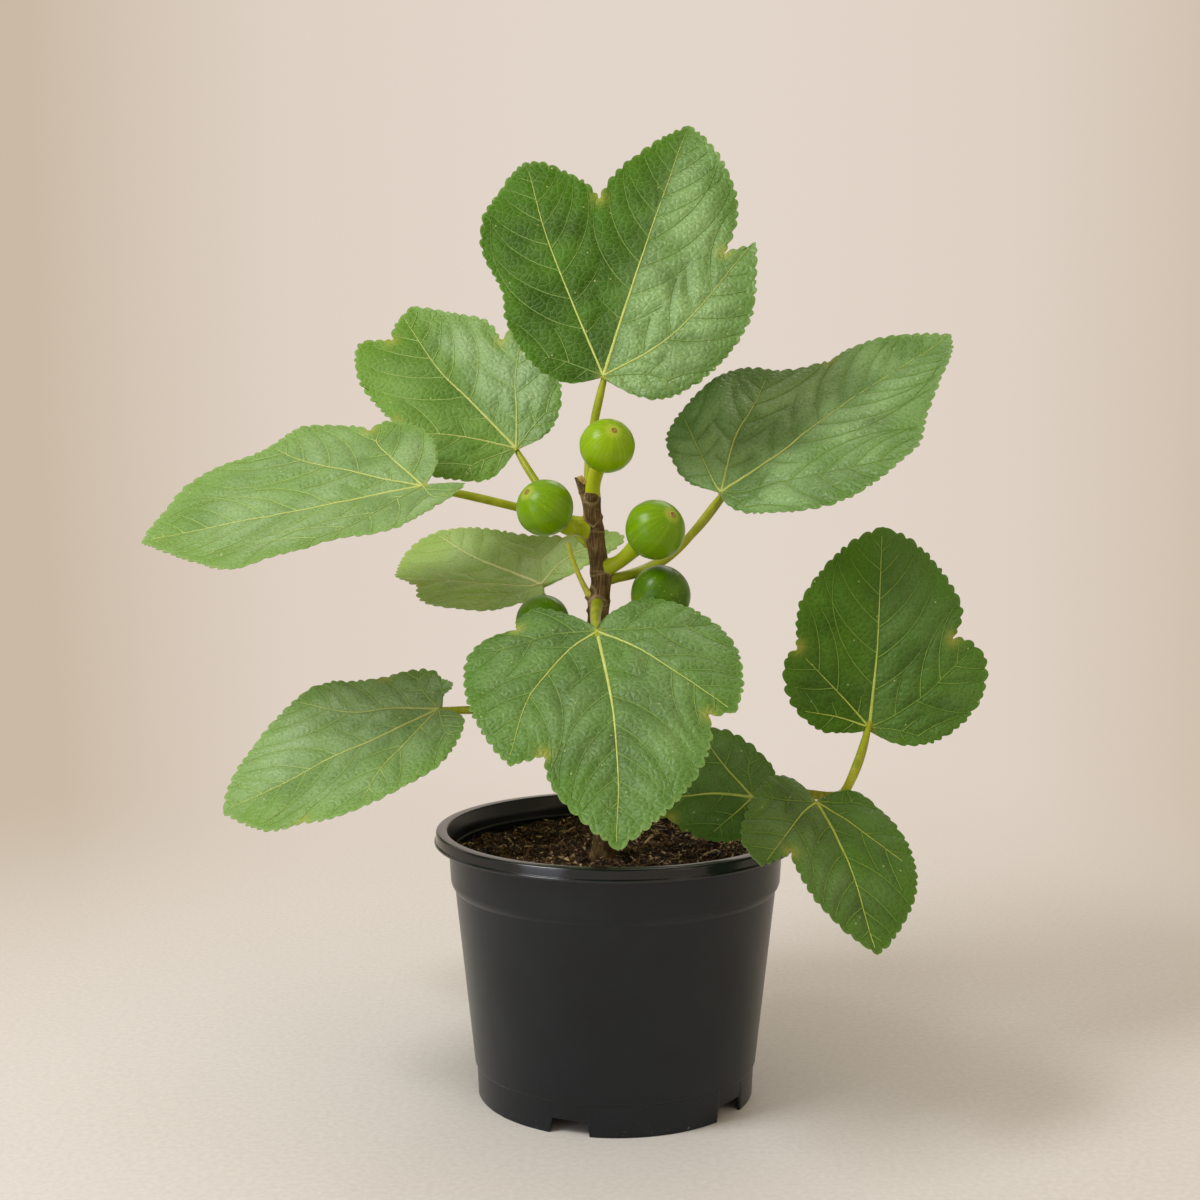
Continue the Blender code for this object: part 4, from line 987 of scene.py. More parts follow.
def leaf_edges(knots, seed):
    """The leaf's smooth edge at even steps, and the same edge cut into rounded teeth.

    A tooth is a hump that leans towards the point of its lobe. Teeth differ in width and depth,
    die out near the stalk, and leave the points of the lobes whole.
    """
    dense = outline_points(knots, 16)
    closed = np.vstack([dense, dense[:1]])
    run = np.concatenate([[0], np.cumsum(np.linalg.norm(np.diff(closed, axis=0), axis=1))])
    teeth = round(run[-1] / TOOTH_PITCH)
    count = teeth * 9
    share = np.arange(count) / count
    smooth = np.stack([np.interp(share * run[-1], run, closed[:, axis]) for axis in (0, 1)], 1)
    ahead = np.roll(smooth, -1, axis=0) - np.roll(smooth, 1, axis=0)
    outward = np.stack([ahead[:, 1], -ahead[:, 0]], 1) / np.linalg.norm(ahead, axis=1)[:, None]
    draw = np.random.default_rng(seed)
    stops = np.concatenate([[0], np.cumsum(draw.uniform(0.6, 1.4, teeth))])
    stops /= stops[-1]
    tooth = np.searchsorted(stops, share, side="right") - 1
    phase = (share - stops[tooth]) / np.diff(stops)[tooth]
    reach = np.linalg.norm(smooth, axis=1)
    middle = (0.5 * (stops[1:] + stops[:-1]) * count).astype(int)
    forward = (np.roll(reach, -2) > np.roll(reach, 2))[middle][tooth]
    hump = np.sin(math.pi * np.where(forward, phase, 1 - phase) ** 1.5) ** 0.55
    depth = draw.uniform(0.5, 1.15, teeth)[tooth] * TOOTH_DEPTH
    depth = depth * np.clip((reach - 8 * MM) / (26 * MM), 0, 1)
    for number, knot in enumerate(knots):
        if knot[-1] == "point":
            off = np.abs(share * run[-1] - run[number * 16])
            off = np.minimum(off, run[-1] - off)
            depth = depth * (1 - np.exp(-((off / (3 * MM)) ** 2)))
    return smooth, smooth + outward * (depth * (hump - 0.55))[:, None]


def edge_share(flat, edge):
    """How far out flat points lie, as a share of the way from the stalk to the leaf's edge."""
    angle = np.arctan2(edge[:, 1], edge[:, 0])
    order = np.argsort(angle)
    reach = np.linalg.norm(edge, axis=1)[order]
    turn = np.arctan2(flat[:, 1], flat[:, 0])
    return np.linalg.norm(flat, axis=1) / np.interp(turn, angle[order], reach, period=2 * math.pi)


def vein_lines(leaf_mains, edge):
    """The centre lines of a leaf's veins, each with its widths at its two ends.

    Main veins are smooth curves through their knots. Side veins leave them in pairs, closer and
    closer towards the lobe's point, at 66 to 50 degrees, and bend towards it with each step until
    they near the margin, come nearer to another main vein or meet a side vein of one.
    """
    mains = [smooth_line(np.vstack([(0, 0), polar(knots)]), 60) for knots in leaf_mains]
    draw = np.random.default_rng(len(mains) + round(len(edge)))
    veins, met = [], np.full((1, 2), 1.0)
    for number, main in enumerate(mains):
        run = np.concatenate([[0], np.cumsum(np.linalg.norm(np.diff(main, axis=0), axis=1))])
        base = (2.4, 1.6, 1.5, 1.0, 1.0)[number] * MM
        veins.append((main, base, 0.4 * MM))
        others = np.vstack([other for other in mains if other is not main])
        pairs = max(3, round(run[-1] / (22 * MM)))
        fresh = []
        for place, side in [(place, side) for place in range(pairs) for side in (-1, 1)]:
            share = 1 - 0.8 * (1 - min(0.97, (place + 0.08 * side + 0.04) / pairs)) ** 1.3
            begin = share * run[-1]
            spot, ahead = (
                np.array([np.interp(at, run, main[:, axis]) for axis in (0, 1)])
                for at in (begin, begin + MM)
            )
            slant = 66 - 16 * share + draw.uniform(-6, 6)
            heading = math.atan2(*(ahead - spot)[::-1]) + side * math.radians(slant)
            path = [spot]
            for _ in range(60):
                heading -= side * math.radians(1.5)
                spot = spot + 2.0 * MM * np.array([math.cos(heading), math.sin(heading)])
                own = np.linalg.norm(main - spot, axis=1).min()
                near = np.linalg.norm(others - spot, axis=1).min()
                touched = np.linalg.norm(met - spot, axis=1).min() < 2.2 * MM
                if edge_share(spot[None], edge)[0] > 0.965 or near < 0.8 * own or touched:
                    break
                path.append(spot)
            if len(path) > 4:
                veins.append((np.array(path), 0.85 * MM, 0.35 * MM))
                fresh.append(path)
        met = np.vstack([met, *fresh])
    return veins


def blade_surface(flat, leaf):
    """Places on a curved blade: the midrib falls in an arc, and each half rises, then sags."""
    along, across = flat[..., 0], flat[..., 1]
    fall = math.radians(leaf["bend"]) / (OUTLINES[leaf["outline"]][0][1] * MM)
    rise = math.radians(leaf["fold"])
    sag = math.radians(leaf["sag"]) / BLADE_HALF_WIDTH
    side = np.abs(across)
    out = (math.sin(rise) - np.sin(rise - sag * side)) / sag
    lift = (np.cos(rise - sag * side) - math.cos(rise)) / sag
    forward = np.sin(fall * along) / fall + lift * np.sin(fall * along)
    upward = -(1 - np.cos(fall * along)) / fall + lift * np.cos(fall * along)
    return np.stack([forward, np.sign(across) * out, upward], axis=-1)


def blade_frame(flat, leaf):
    """Points of the curved blade with the directions out of its upper face there."""
    step = 0.2 * MM
    along = blade_surface(flat + (step, 0), leaf) - blade_surface(flat - (step, 0), leaf)
    across = blade_surface(flat + (0, step), leaf) - blade_surface(flat - (0, step), leaf)
    out = np.cross(along, across)
    return blade_surface(flat, leaf), out / np.linalg.norm(out, axis=-1)[..., None]


def blade_relief(flat, share, veins, seed):
    """How far the blade stands off its smooth surface, and how far each point is from a vein, as
    a share that reaches 1: it bulges between veins, ripples all over and waves at its margin."""
    off = np.full(len(flat), 1.0)
    for line, _, _ in veins:
        off = np.minimum(off, np.linalg.norm(flat[:, None] - line[None], axis=2).min(1))
    firm = np.clip(np.linalg.norm(flat, axis=1) / (30 * MM), 0, 1) * (1 - 0.6 * share**8)
    clear = 1 - np.exp(-np.maximum(off - MM, 0) / QUILT_REACH)
    x, y = (flat / (9 * MM)).T
    ripple = 0.5 * MM * (lumps(x, y, seed) - 0.5) + 0.35 * MM * (lumps(3 * x, 3 * y, seed + 9) - 0.5)
    wave = 5.0 * MM * share**3 * (lumps(x / 3.2, y / 3.2, seed + 50) - 0.5)
    return QUILTING * firm * clear + ripple + wave, clear


def blade_solid(leaf, edges, veins, seed):
    """A thin closed blade: rings that grow from the stalk to the toothed edge, on both faces.

    Inner rings have one column for three of the edge's. Returns the points, the faces of the
    upper face, those of the lower face with the rim, and the flat place, the share of the way
    out and the clearness of veins of each point.
    """
    smooth, toothed = edges
    inner = smooth[::3]
    columns = len(inner)
    shares = np.linspace(0, 0.965, BLADE_RINGS + 1)[1:]
    flat = np.vstack([[(0, 0)], (inner[None] * shares[:, None, None]).reshape(-1, 2), toothed])
    share = np.concatenate([[0], shares.repeat(columns), np.ones(len(toothed))])
    base, out = blade_frame(flat, leaf)
    relief, clear = blade_relief(flat, share, veins, seed)
    relief = relief[:, None]
    half = (0.5 * BLADE_THICKNESS * (1 - 0.4 * share**6))[:, None]
    points = np.vstack([base + out * (relief + half), base + out * (relief - half)])

    here = np.arange(columns)
    right = (here + 1) % columns
    last = 1 + (BLADE_RINGS - 1) * columns
    rim = 1 + BLADE_RINGS * columns
    steps = [rim + (3 * here + step) % len(toothed) for step in range(4)]
    centre = np.stack([np.zeros(columns, int), 1 + here, 1 + right], axis=1)
    quads = grid_faces(BLADE_RINGS, columns, first=1)[:, ::-1]
    fans = [
        np.stack([last + here, steps[0], steps[1]], axis=1),
        np.stack([last + right, steps[2], steps[3]], axis=1),
    ]
    middle = np.stack([last + here, steps[1], steps[2], last + right], axis=1)
    upper = [centre, quads, *fans, middle]
    lower = [block[:, ::-1] + len(flat) for block in upper]
    round_rim = rim + np.arange(len(toothed))
    next_rim = np.roll(round_rim, -1)
    skirt = [next_rim, round_rim, round_rim + len(flat), next_rim + len(flat)]
    lower.append(np.stack(skirt, axis=1))
    return points, upper, lower, np.vstack([flat, flat]), np.tile(share, 2), np.tile(clear, 2)


def vein_solid(vein, leaf, edge, veins, seed):
    """A vein as a flattened tube along its line, that stands out above and below the blade."""
    line, first, last = vein
    sides = 8
    base, out = blade_frame(line, leaf)
    along = np.gradient(base, axis=0)
    across = np.cross(out, along)
    across /= np.linalg.norm(across, axis=1)[:, None]
    width = last + (first - last) * np.linspace(1, 0, len(line)) ** 1.3
    relief, _ = blade_relief(line, edge_share(line, edge), veins, seed)
    middle = base + out * (relief + VEIN_LIFT)[:, None]
    turn = np.linspace(0, 2 * math.pi, sides, endpoint=False)
    high = np.where(np.sin(turn) > 0, 0.22, 0.6) * width[:, None] + 0.5 * BLADE_THICKNESS
    rings = middle[:, None] + np.cos(turn)[:, None] * 0.5 * (width[:, None] * across)[:, None]
    rings = rings + (np.sin(turn) * high)[..., None] * out[:, None]
    return ring_solid(rings)


def bent_line(start, leave, end, arrive, count):
    """Points on a cubic Bezier curve that leaves and arrives along two pulls."""
    t = np.linspace(0, 1, count)[:, None]
    first, second = start + leave, end + arrive
    return (
        (1 - t) ** 3 * start + 3 * (1 - t) ** 2 * t * first
        + 3 * (1 - t) * t**2 * second + t**3 * end
    )


def trunk_root(name):
    """Where a stalk leaves the trunk, clear of it as in the CAD model, and the way out."""
    height, side = TRUNK_ROOTS[name]
    centre, limb_radius = trunk_at(height * MM)
    out = np.array([math.cos(math.radians(side)), math.sin(math.radians(side)), 0.0])
    return centre + out * (limb_radius + NODE_SWELL + GAP), out


def bough_root(place, side):
    """Where a stalk leaves the bough, clear of it as in the CAD model, and the way out."""
    spot = place * (len(bough_rows) - 1)
    row = [np.interp(spot, range(len(bough_rows)), bough_rows[:, axis]) for axis in range(4)]
    out = np.array([0.0, math.sin(math.radians(side)), math.cos(math.radians(side))])
    return np.array(row[:3]) + out * (row[3] + BOUGH_GAP), out


def stalk_solid(name, leaf, turn):
    """A round stalk along a Bezier curve, flared at its root, that narrows into the midrib, in
    the leaf's own frame."""
    start, out = bough_root(*leaf["bough_root"]) if "bough_root" in leaf else trunk_root(name)
    midrib = turn @ np.array([1.0, 0, 0])
    leave = out + np.array([0, 0, leaf["root_lift"]])
    leave *= leaf["root_pull"] * MM / np.linalg.norm(leave)
    end = np.array(leaf["at"]) * MM + midrib * STALK_SINK
    arrive = (-midrib - np.array([0, 0, leaf["blade_drop"]])) * leaf["blade_pull"] * MM
    line = bent_line(start, leave, end, arrive, 70)
    line = np.vstack([start - out * STALK_BURIED, line])
    run = np.concatenate([[0], np.cumsum(np.linalg.norm(np.diff(line, axis=0), axis=1))])
    share = run / run[-1]
    left = run[-1] - run
    taper = np.interp(left / MM, (0, STALK_SINK / MM, 16, 40), (0.35, 0.62, 0.9, 1.0))
    radius = np.interp(share, (0, 0.3), (STALK_ROOT_RADIUS, STALK_RADIUS)) * taper
    size = leaf.get("stalk_size", 1.0)
    flare = leaf.get("stalk_flare", 1.3) * MM * np.exp(-((run / (4.5 * MM)) ** 2))
    radius = size * (radius + flare * np.minimum(1, left / (8 * MM)))
    radius[0] *= 0.6
    points, faces = ring_solid(limb_rings(line, radius[:, None], 20, first_axis=out))
    return (points - np.array(leaf["at"]) * MM) @ turn, faces


def layered(tree, colour, layers):
    """Colours laid one over the other. Each layer has the value that it follows, the two ends
    between which that value counts, the layer's share at either end, and its hex colour."""
    for value, (low, high), (first, last), code in layers:
        ends = {"From Min": low, "From Max": high, "To Min": first, "To Max": last}
        share = add_node(tree, "MapRange", ends, {"Value": value}).outputs["Result"]
        mix = add_node(tree, "Mix", {"data_type": "RGBA", 7: linear(code)}, {0: share, 6: colour})
        colour = mix.outputs[2]
    return colour


def leaf_finish(name, deep, fresh, painted_sheen_colour, net, lively, gloss):
    """A fig leaf's upper face: green in two tones by patches of 35 mm, a pale grey-green painted
    sheen that stands in for reflected light, drifting over what bulges between the veins and lying
    mostly on one half, a net of fine pale veins with cells of about 4 mm, fine wrinkles painted
    darker in their hollows as painted shade, a livelier margin, yellowing at the foot of each notch
    and few specks. The net is drawn coarser than it is, so that it shows."""
    finish, tree, shader = new_finish(name, {"IOR": 1.42, "Roughness": gloss})

    place = add_node(tree, "Attribute", {"attribute_name": "flow"}).outputs["Vector"]
    traits = add_node(tree, "Attribute", {"attribute_name": "traits"}).outputs["Vector"]
    sheen = add_node(tree, "Attribute", {"attribute_name": "sheen"}).outputs["Fac"]
    split = add_node(tree, "SeparateXYZ", links={0: traits}).outputs
    rim, clear, notch = split["X"], split["Y"], split["Z"]
    noises = (
        add_node(tree, "TexNoise", {"Scale": 1 / (size * MM), "Detail": 3.0}, {"Vector": place})
        for size in (34, 42, 6, 1.7)
    )
    mottle, cloud, sway, wrinkle = (noise.outputs for noise in noises)
    mottle, cloud, wrinkle = mottle["Fac"], cloud["Fac"], wrinkle["Fac"]
    bent = add_node(
        tree, "VectorMath", {"operation": "MULTIPLY_ADD", 1: (3 * MM, 3 * MM, 0)},
        {0: sway["Color"], 2: place},
    )
    cells = add_node(
        tree, "TexVoronoi",
        {"feature": "DISTANCE_TO_EDGE", "voronoi_dimensions": "2D", "Scale": 1 / (4.4 * MM)},
        {"Vector": bent.outputs["Vector"]},
    ).outputs["Distance"]
    specks = add_node(
        tree, "TexVoronoi", {"voronoi_dimensions": "2D", "Scale": 1 / (31 * MM)}, {"Vector": place}
    ).outputs["Distance"]

    # The painted sheen's strength: that of this half of the leaf, thinned by its drift, in wrinkles
    # and along veins, each between two values and with its share at either.
    painted_sheen_strength = sheen
    for value, low, high, thin in (
        (cloud, 0.4, 0.6, 0.45), (wrinkle, 0.3, 0.7, 0.75), (clear, 0, 0.7, 0.78)
    ):
        ends = {"From Min": low, "From Max": high, "To Min": thin}
        cover = add_node(tree, "MapRange", ends, {"Value": value}).outputs["Result"]
        painted_sheen_strength = add_node(tree, "Math", {"operation": "MULTIPLY"}, {0: painted_sheen_strength, 1: cover}).outputs[0]

    tint = add_node(tree, "ValToRGB", {"stops": [(0.35, deep), (0.65, fresh)]}, {0: mottle})
    layers = (
        # The painted sheen: a pale tint that stands in for the leaf's reflection of the light.
        (painted_sheen_strength, (0, 1), (0, 1), painted_sheen_colour),
        (rim, (0.75, 1), (0, 0.6), lively),
        # Wrinkles darker in their hollows: painted shade.
        (wrinkle, (0.34, 0.5), (0.28, 0), deep),
        (cells, (0, 0.06), (0.38, 0), net),
        (rim, (0.978, 1), (0, 0.4), net),
        (notch, (0, 1), (0, 1), "a9ad4e"),
        (specks, (0.012, 0.022), (0.6, 0), "cfd09a"),
    )
    colour = layered(tree, tint.outputs["Color"], layers)
    dome = add_node(tree, "MapRange", {"From Max": 0.35}, {"Value": cells}).outputs["Result"]
    domes = add_node(tree, "Bump", {"Distance": 0.36 * MM}, {"Height": dome})
    fine = add_node(
        tree, "Bump", {"Distance": 0.22 * MM}, {"Height": wrinkle, "Normal": domes.outputs[0]}
    )
    shine = add_node(tree, "MapRange", {"To Min": 0.08, "To Max": 0.5}, {"Value": sheen})
    tree.links.new(colour, shader.inputs["Base Color"])
    tree.links.new(fine.outputs["Normal"], shader.inputs["Normal"])
    tree.links.new(shine.outputs["Result"], shader.inputs["Specular IOR Level"])
    return finish


def plain_finish(name, code, second, size, roughness):
    """Living skin in two close tones that drift into each other over patches of a given size."""
    finish, tree, shader = new_finish(
        name, {"IOR": 1.42, "Specular IOR Level": 0.3, "Roughness": roughness}
    )
    place = add_node(tree, "TexCoord").outputs["Object"]
    drift = add_node(tree, "TexNoise", {"Scale": 1 / (size * MM), "Detail": 2.0}, {"Vector": place})
    tint = add_node(
        tree, "ValToRGB", {"stops": [(0.35, code), (0.65, second)]}, {0: drift.outputs["Fac"]}
    )
    rough = add_node(tree, "Bump", {"Distance": 0.05 * MM}, {"Height": drift.outputs["Fac"]})
    tree.links.new(tint.outputs["Color"], shader.inputs["Base Color"])
    tree.links.new(rough.outputs["Normal"], shader.inputs["Normal"])
    return finish


# Leaf skin is satin above and pale and felted below. Veins are yellow-green, the fine ones
# greener; stalks are yellow-green and a little glossy.
underside = plain_finish("felted leaf underside", "7c9a5c", "8ba86c", 9, 0.8)
stalk_skin = plain_finish("fig leaf stalk", "8d9c18", "a9b02c", 11, 0.36)
tones = {
    "young": (
        leaf_finish("young fig leaf", "4e781c", "689232", "9aba86", "98b470", "6a9828", 0.46),
        plain_finish("main veins of a young leaf", "c3cf80", "b4c26c", 6, 0.5),
        plain_finish("side veins of a young leaf", "a6bf74", "98b464", 6, 0.5),
    ),
    # This tone is a paler copy of a leaf's greens, painted light for a leaf that lies in the shade
    # of the leaves above it.
    "shade_lifted": (
        leaf_finish("sunned fig leaf", "7ea43a", "9ac04e", "b6ca98", "bacb82", "90b248", 0.48),
        plain_finish("main veins of a sunned leaf", "e2e4b0", "d4d894", 6, 0.5),
        plain_finish("side veins of a sunned leaf", "bcca8c", "acbc78", 6, 0.5),
    ),
    "grown": (
        leaf_finish("grown fig leaf", "2c4e06", "48741a", "8ab070", "86a45c", "4a7a10", 0.42),
        plain_finish("main veins of a grown leaf", "c8d47c", "b6c566", 6, 0.5),
        plain_finish("side veins of a grown leaf", "84a356", "749648", 6, 0.5),
    ),
    "old": (
        leaf_finish("old fig leaf", "325406", "467010", "769a5a", "688a3c", "4c761a", 0.45),
        plain_finish("main veins of an old leaf", "bccb62", "aabb56", 6, 0.5),
        plain_finish("side veins of an old leaf", "7e9e46", "6e903c", 6, 0.5),
    ),
}

for number, (name, leaf) in enumerate(LEAVES.items()):
    knots, mains = OUTLINES[leaf["outline"]], MAIN_VEINS[leaf["outline"]]
    leaf_skin, main_vein, side_vein = tones[leaf["tone"]]
    edges = leaf_edges(knots, number)
    veins = vein_lines(mains, edges[0])
    turn_angles = (leaf["roll"], -leaf["rise"], leaf["heading"])
    turn = np.array(Euler([math.radians(angle) for angle in turn_angles]).to_matrix())
    blade, upper, lower, flat, share, clear = blade_solid(leaf, edges, veins, number)
    solids = [(blade, upper, 0), (blade[:0], [block - len(blade) for block in lower], 1)]
    for vein in veins:
        solids.append((*vein_solid(vein, leaf, edges[0], veins, number), 2 + (vein[1] < 1.1 * MM)))
    solids.append((*stalk_solid(name, leaf, turn), 4))
    points, faces, kinds = joined(solids)
    notches = polar([knot for knot in knots if knot[-1] == "notch" and knot[1] > 20])
    near = np.linalg.norm(flat[:, None] - notches[None], axis=2).min(1)
    flow, traits = np.zeros((2, len(points), 3))
    flow[: len(flat), :2] = flat + (0.31 * number, 0.17 * number)
    hub = np.linalg.norm(flat, axis=1)
    yellow = 0.65 * np.exp(-((near / (5 * MM)) ** 2)) + 0.8 * np.exp(-((hub / (3.5 * MM)) ** 2))
    traits[: len(flat)] = np.stack([share, clear, yellow], axis=1)
    # The painted sheen of each point: that of the leaf's left half or its right, blended across the
    # midrib.
    left, right = leaf["sheen"]
    sheen = np.zeros(len(points))
    sheen[: len(flat)] = right + (left - right) * (0.5 + 0.5 * np.tanh(flat[:, 1] / (9 * MM)))
    piece = make_piece(
        "veined_" + name, points @ turn.T + np.array(leaf["at"]) * MM, faces,
        [leaf_skin, underside, main_vein, side_vein, stalk_skin], kinds=kinds,
        marks={"flow": flow, "traits": traits, "sheen": sheen}, sharp=70,
    )
    hang(piece, "foliage", name)


# The bare stalk: what is left on the trunk of a leaf that has lost its blade. It is thin, fleshy
# and yellowing as it dries, with a slight swelling where it broke off.
BARE_STALK_TIP = (-30.5, -33.0, 369.5)
start, out = trunk_root("bare_leaf_stalk")
end = np.array(BARE_STALK_TIP) * MM
line = bent_line(start, out * 2 * MM + (0, 0, 3 * MM), end, np.array([2.4, 0.5, -14]) * MM, 40)
line = np.vstack([start - out * STALK_BURIED, line])
radii = np.linspace(1.9, 1.4, len(line)) * MM + 0.9 * MM * np.exp(-np.arange(len(line)) / 5)
radii[-3:] *= (1.12, 1.05, 0.6)
points, faces = ring_solid(limb_rings(line, radii[:, None], 20, first_axis=out))
bare_stalk = make_piece(
    "dry_leaf_stalk", points, faces, [plain_finish("drying stalk", "bec63e", "d0d05e", 7, 0.4)]
)
hang(bare_stalk, "foliage", "bare_leaf_stalk")


# The figs: unripe green fruit on short fleshy necks that grow straight from the bark. They are
# pear shaped, with faint ribs that run to the eye, a small round opening closed by tan scales.

# Where each fig's body has its middle (mm), its radius (mm), the way its eye points, its skin, the
# deep one painted darker as painted shade, and its neck's radius (mm). The top fig's neck has a
# root of its own on the trunk's tip.
FIGS = {
    "fig_top": dict(
        at=(-5.8, -54, 431), radius=17.2, eye=(0.24, -0.78, 0.58), skin="bright", neck=4.6,
        root=((-15.4, -28.4, 401.0), (0.1, -0.3, 1.0)),
    ),
    "fig_left": dict(
        at=(-44.4, -58, 392.6), radius=17.9, eye=(-0.62, -0.52, 0.58), skin="fresh", neck=4.5
    ),
    "fig_right": dict(
        at=(24.2, -54, 378.7), radius=18.9, eye=(0.56, -0.62, 0.55), skin="fresh", neck=4.5
    ),
    "fig_low_right": dict(
        at=(28.1, -41, 336.2), radius=19.3, eye=(0.66, 0.35, 0.66), skin="deep", neck=4.2
    ),
    "fig_low_left": dict(
        at=(-46.4, -42, 319.5), radius=17.3, eye=(-0.70, 0.30, 0.65), skin="deep", neck=4.2
    ),
    "fig_back": dict(at=(2, 14, 276), radius=16.5, eye=(0.30, 0.85, 0.42), skin="deep", neck=4.2),
}
FIG_COLUMNS = 72
PORE_SPACING = 3.2 * MM

# The body's profile in shares of the fruit's radius: how far along its axis from where the neck
# ends, and how far out.
BODY_PROFILE = (
    (0.05, 0.345), (0.12, 0.445), (0.22, 0.585), (0.36, 0.74), (0.56, 0.88), (0.8, 0.975),
    (1.05, 1.0), (1.3, 0.955), (1.52, 0.853), (1.7, 0.715), (1.84, 0.54), (1.93, 0.36),
    (1.975, 0.2), (1.985, 0.12), (2.01, 0.1), (2.025, 0.075), (2.015, 0.05), (1.99, 0.03),
)


def fig_solid(name, fig, seed):
    """A fig as rings along its neck and then straight on through the body to the eye."""
    centre, radius = np.array(fig["at"]) * MM, fig["radius"] * MM
    eye = np.array(Vector(fig["eye"]).normalized())
    if "root" in fig:
        start, out = np.array(fig["root"][0]) * MM, np.array(Vector(fig["root"][1]).normalized())
    else:
        start, out = trunk_root(name)
    foot = centre - eye * radius
    reach = np.linalg.norm(foot - start)
    leave = (out + (0, 0, 0.2)) * 0.4 * reach
    neck = bent_line(start - out * 4 * MM, leave, foot, -eye * 0.4 * reach, 36)
    run = np.concatenate([[0], np.cumsum(np.linalg.norm(np.diff(neck, axis=0), axis=1))])
    before = (run - run[-1]) / radius
    slim = fig["neck"] * MM / radius
    joint = np.exp(-((before / 0.5) ** 2)) * (0.3 - slim)
    neck_share = slim + joint + 1.4 * MM / radius * np.exp(-((run / (6 * MM)) ** 2))
    neck_share[:2] *= 0.5, 0.85
    body = smooth_line(BODY_PROFILE, 110)
    line = np.vstack([neck, foot + eye * (body[:, :1] * radius)])
    place = np.concatenate([before, body[:, 0]])[:, None]
    turn = np.linspace(0, 2 * math.pi, FIG_COLUMNS, endpoint=False)[None]
    full = np.clip(place, 0, 1) * np.clip(2.0 - place, 0, 1) ** 0.5
    ribs = 0.006 * np.cos(13 * turn + 0.4 * np.sin(3 * turn + seed)) * full
    uneven = 0.014 * np.sin(2 * turn + seed) * full
    radii = radius * np.concatenate([neck_share, body[:, 1]])[:, None] * (1 + ribs + uneven)
    rings = limb_rings(line, radii, FIG_COLUMNS, first_axis=out)
    spread = rings[len(neck) + 2] - line[len(neck) + 2]
    spread /= np.linalg.norm(spread, axis=1)[:, None]
    rings[len(neck) :] = line[len(neck) :, None] + spread * radii[len(neck) :, :, None]
    flow = np.stack(np.broadcast_arrays(np.cos(turn), np.sin(turn), place), axis=-1)
    flow = flow.reshape(-1, 3)
    return (*ring_solid(rings), np.vstack([flow[:1], flow, flow[-1:]]))


def fig_finish(name, neck, deep, light, pale):
    """Fig skin: yellower on the neck, streaked lengthwise in close greens, dotted with pale
    pores, with a pale ring and tan scales at the eye."""
    finish, tree, shader = new_finish(
        name, {"IOR": 1.42, "Specular IOR Level": 0.34, "Roughness": 0.3}
    )

    flow = add_node(tree, "Attribute", {"attribute_name": "flow"}).outputs["Vector"]
    place = add_node(tree, "TexCoord").outputs["Object"]
    stretch = add_node(tree, "Mapping", {"Scale": (6.0, 6.0, 0.45)}, {"Vector": flow}).outputs[0]
    streak = add_node(tree, "TexNoise", {"Scale": 1.0, "Detail": 3.0}, {"Vector": stretch})
    along = add_node(tree, "SeparateXYZ", links={0: flow}).outputs["Z"]
    pores = add_node(tree, "TexVoronoi", {"Scale": 1 / PORE_SPACING}, {"Vector": place})
    tint = add_node(
        tree, "ValToRGB", {"stops": [(0.26, deep), (0.5, light), (0.78, pale)]},
        {0: streak.outputs["Fac"]},
    )
    layers = (
        (along, (0.45, -0.25), (0, 0.85), neck),
        (pores.outputs["Distance"], (0.08, 0.14), (0.4, 0), "c2d470"),
        (along, (1.93, 1.975), (0, 0.38), "c6cc58"),
        (along, (1.983, 1.989), (0, 0.75), "a37f42"),
        (along, (2.019, 2.024), (0, 0.65), "4a3016"),
    )
    colour = layered(tree, tint.outputs["Color"], layers)
    skin = add_node(tree, "Bump", {"Distance": 0.12 * MM}, {"Height": streak.outputs["Fac"]})
    tree.links.new(colour, shader.inputs["Base Color"])
    tree.links.new(skin.outputs["Normal"], shader.inputs["Normal"])
    return finish


skins = {
    "bright": fig_finish("bright fig skin", "b6c222", "749c00", "84ab02", "97b90c"),
    "fresh": fig_finish("fresh fig skin", "acba1e", "5f8a00", "6c9600", "7ca304"),
    # A darker copy of the fig skin: painted shade for the figs low in the crown and at the back.
    "deep": fig_finish("fig skin painted darker for shade", "93a412", "3a6000", "446c00", "517802"),
}
for number, (name, fig) in enumerate(FIGS.items()):
    points, faces, flow = fig_solid(name, fig, number)
    piece = make_piece(
        "green_" + name, points, faces, [skins[fig["skin"]]], marks={"flow": flow}
    )
    hang(piece, "fig_skin", name)


# The studio: a wide pale floor whose far part glows in the room's tone, painted light that blends it
# into a warm room, lightest behind the plant; a large soft light from the upper left in front, and
# weaker ones from both sides and behind.
CAMERA_PLACE = (-0.0102, -1.22, 0.449)
CAMERA_PITCH = 5.6
CAMERA_LENGTH = 1866
PHOTO_WIDTH = 1200


def room_tone(tree, place):
    """The room's tone by the way round from the plant: light behind it, dimmer to both sides."""
    level = add_node(tree, "VectorMath", {"operation": "MULTIPLY", 1: (1, 1, 0)}, {0: place})
    way = add_node(tree, "VectorMath", {"operation": "NORMALIZE"}, {0: level.outputs[0]})
    behind = add_node(
        tree, "VectorMath", {"operation": "DOT_PRODUCT", 1: (0.026, 1, 0)}, {0: way.outputs[0]}
    ).outputs["Value"]
    share = add_node(tree, "MapRange", {"From Min": 0.87}, {"Value": behind}).outputs["Result"]
    stops = [(0.3, "c9b9a5"), (0.62, "cbbaa6"), (0.87, "dfd1c4"), (1.0, "e2d5c9")]
    tint = add_node(tree, "ValToRGB", {"stops": stops}, {0: share})
    return tint.outputs["Color"]


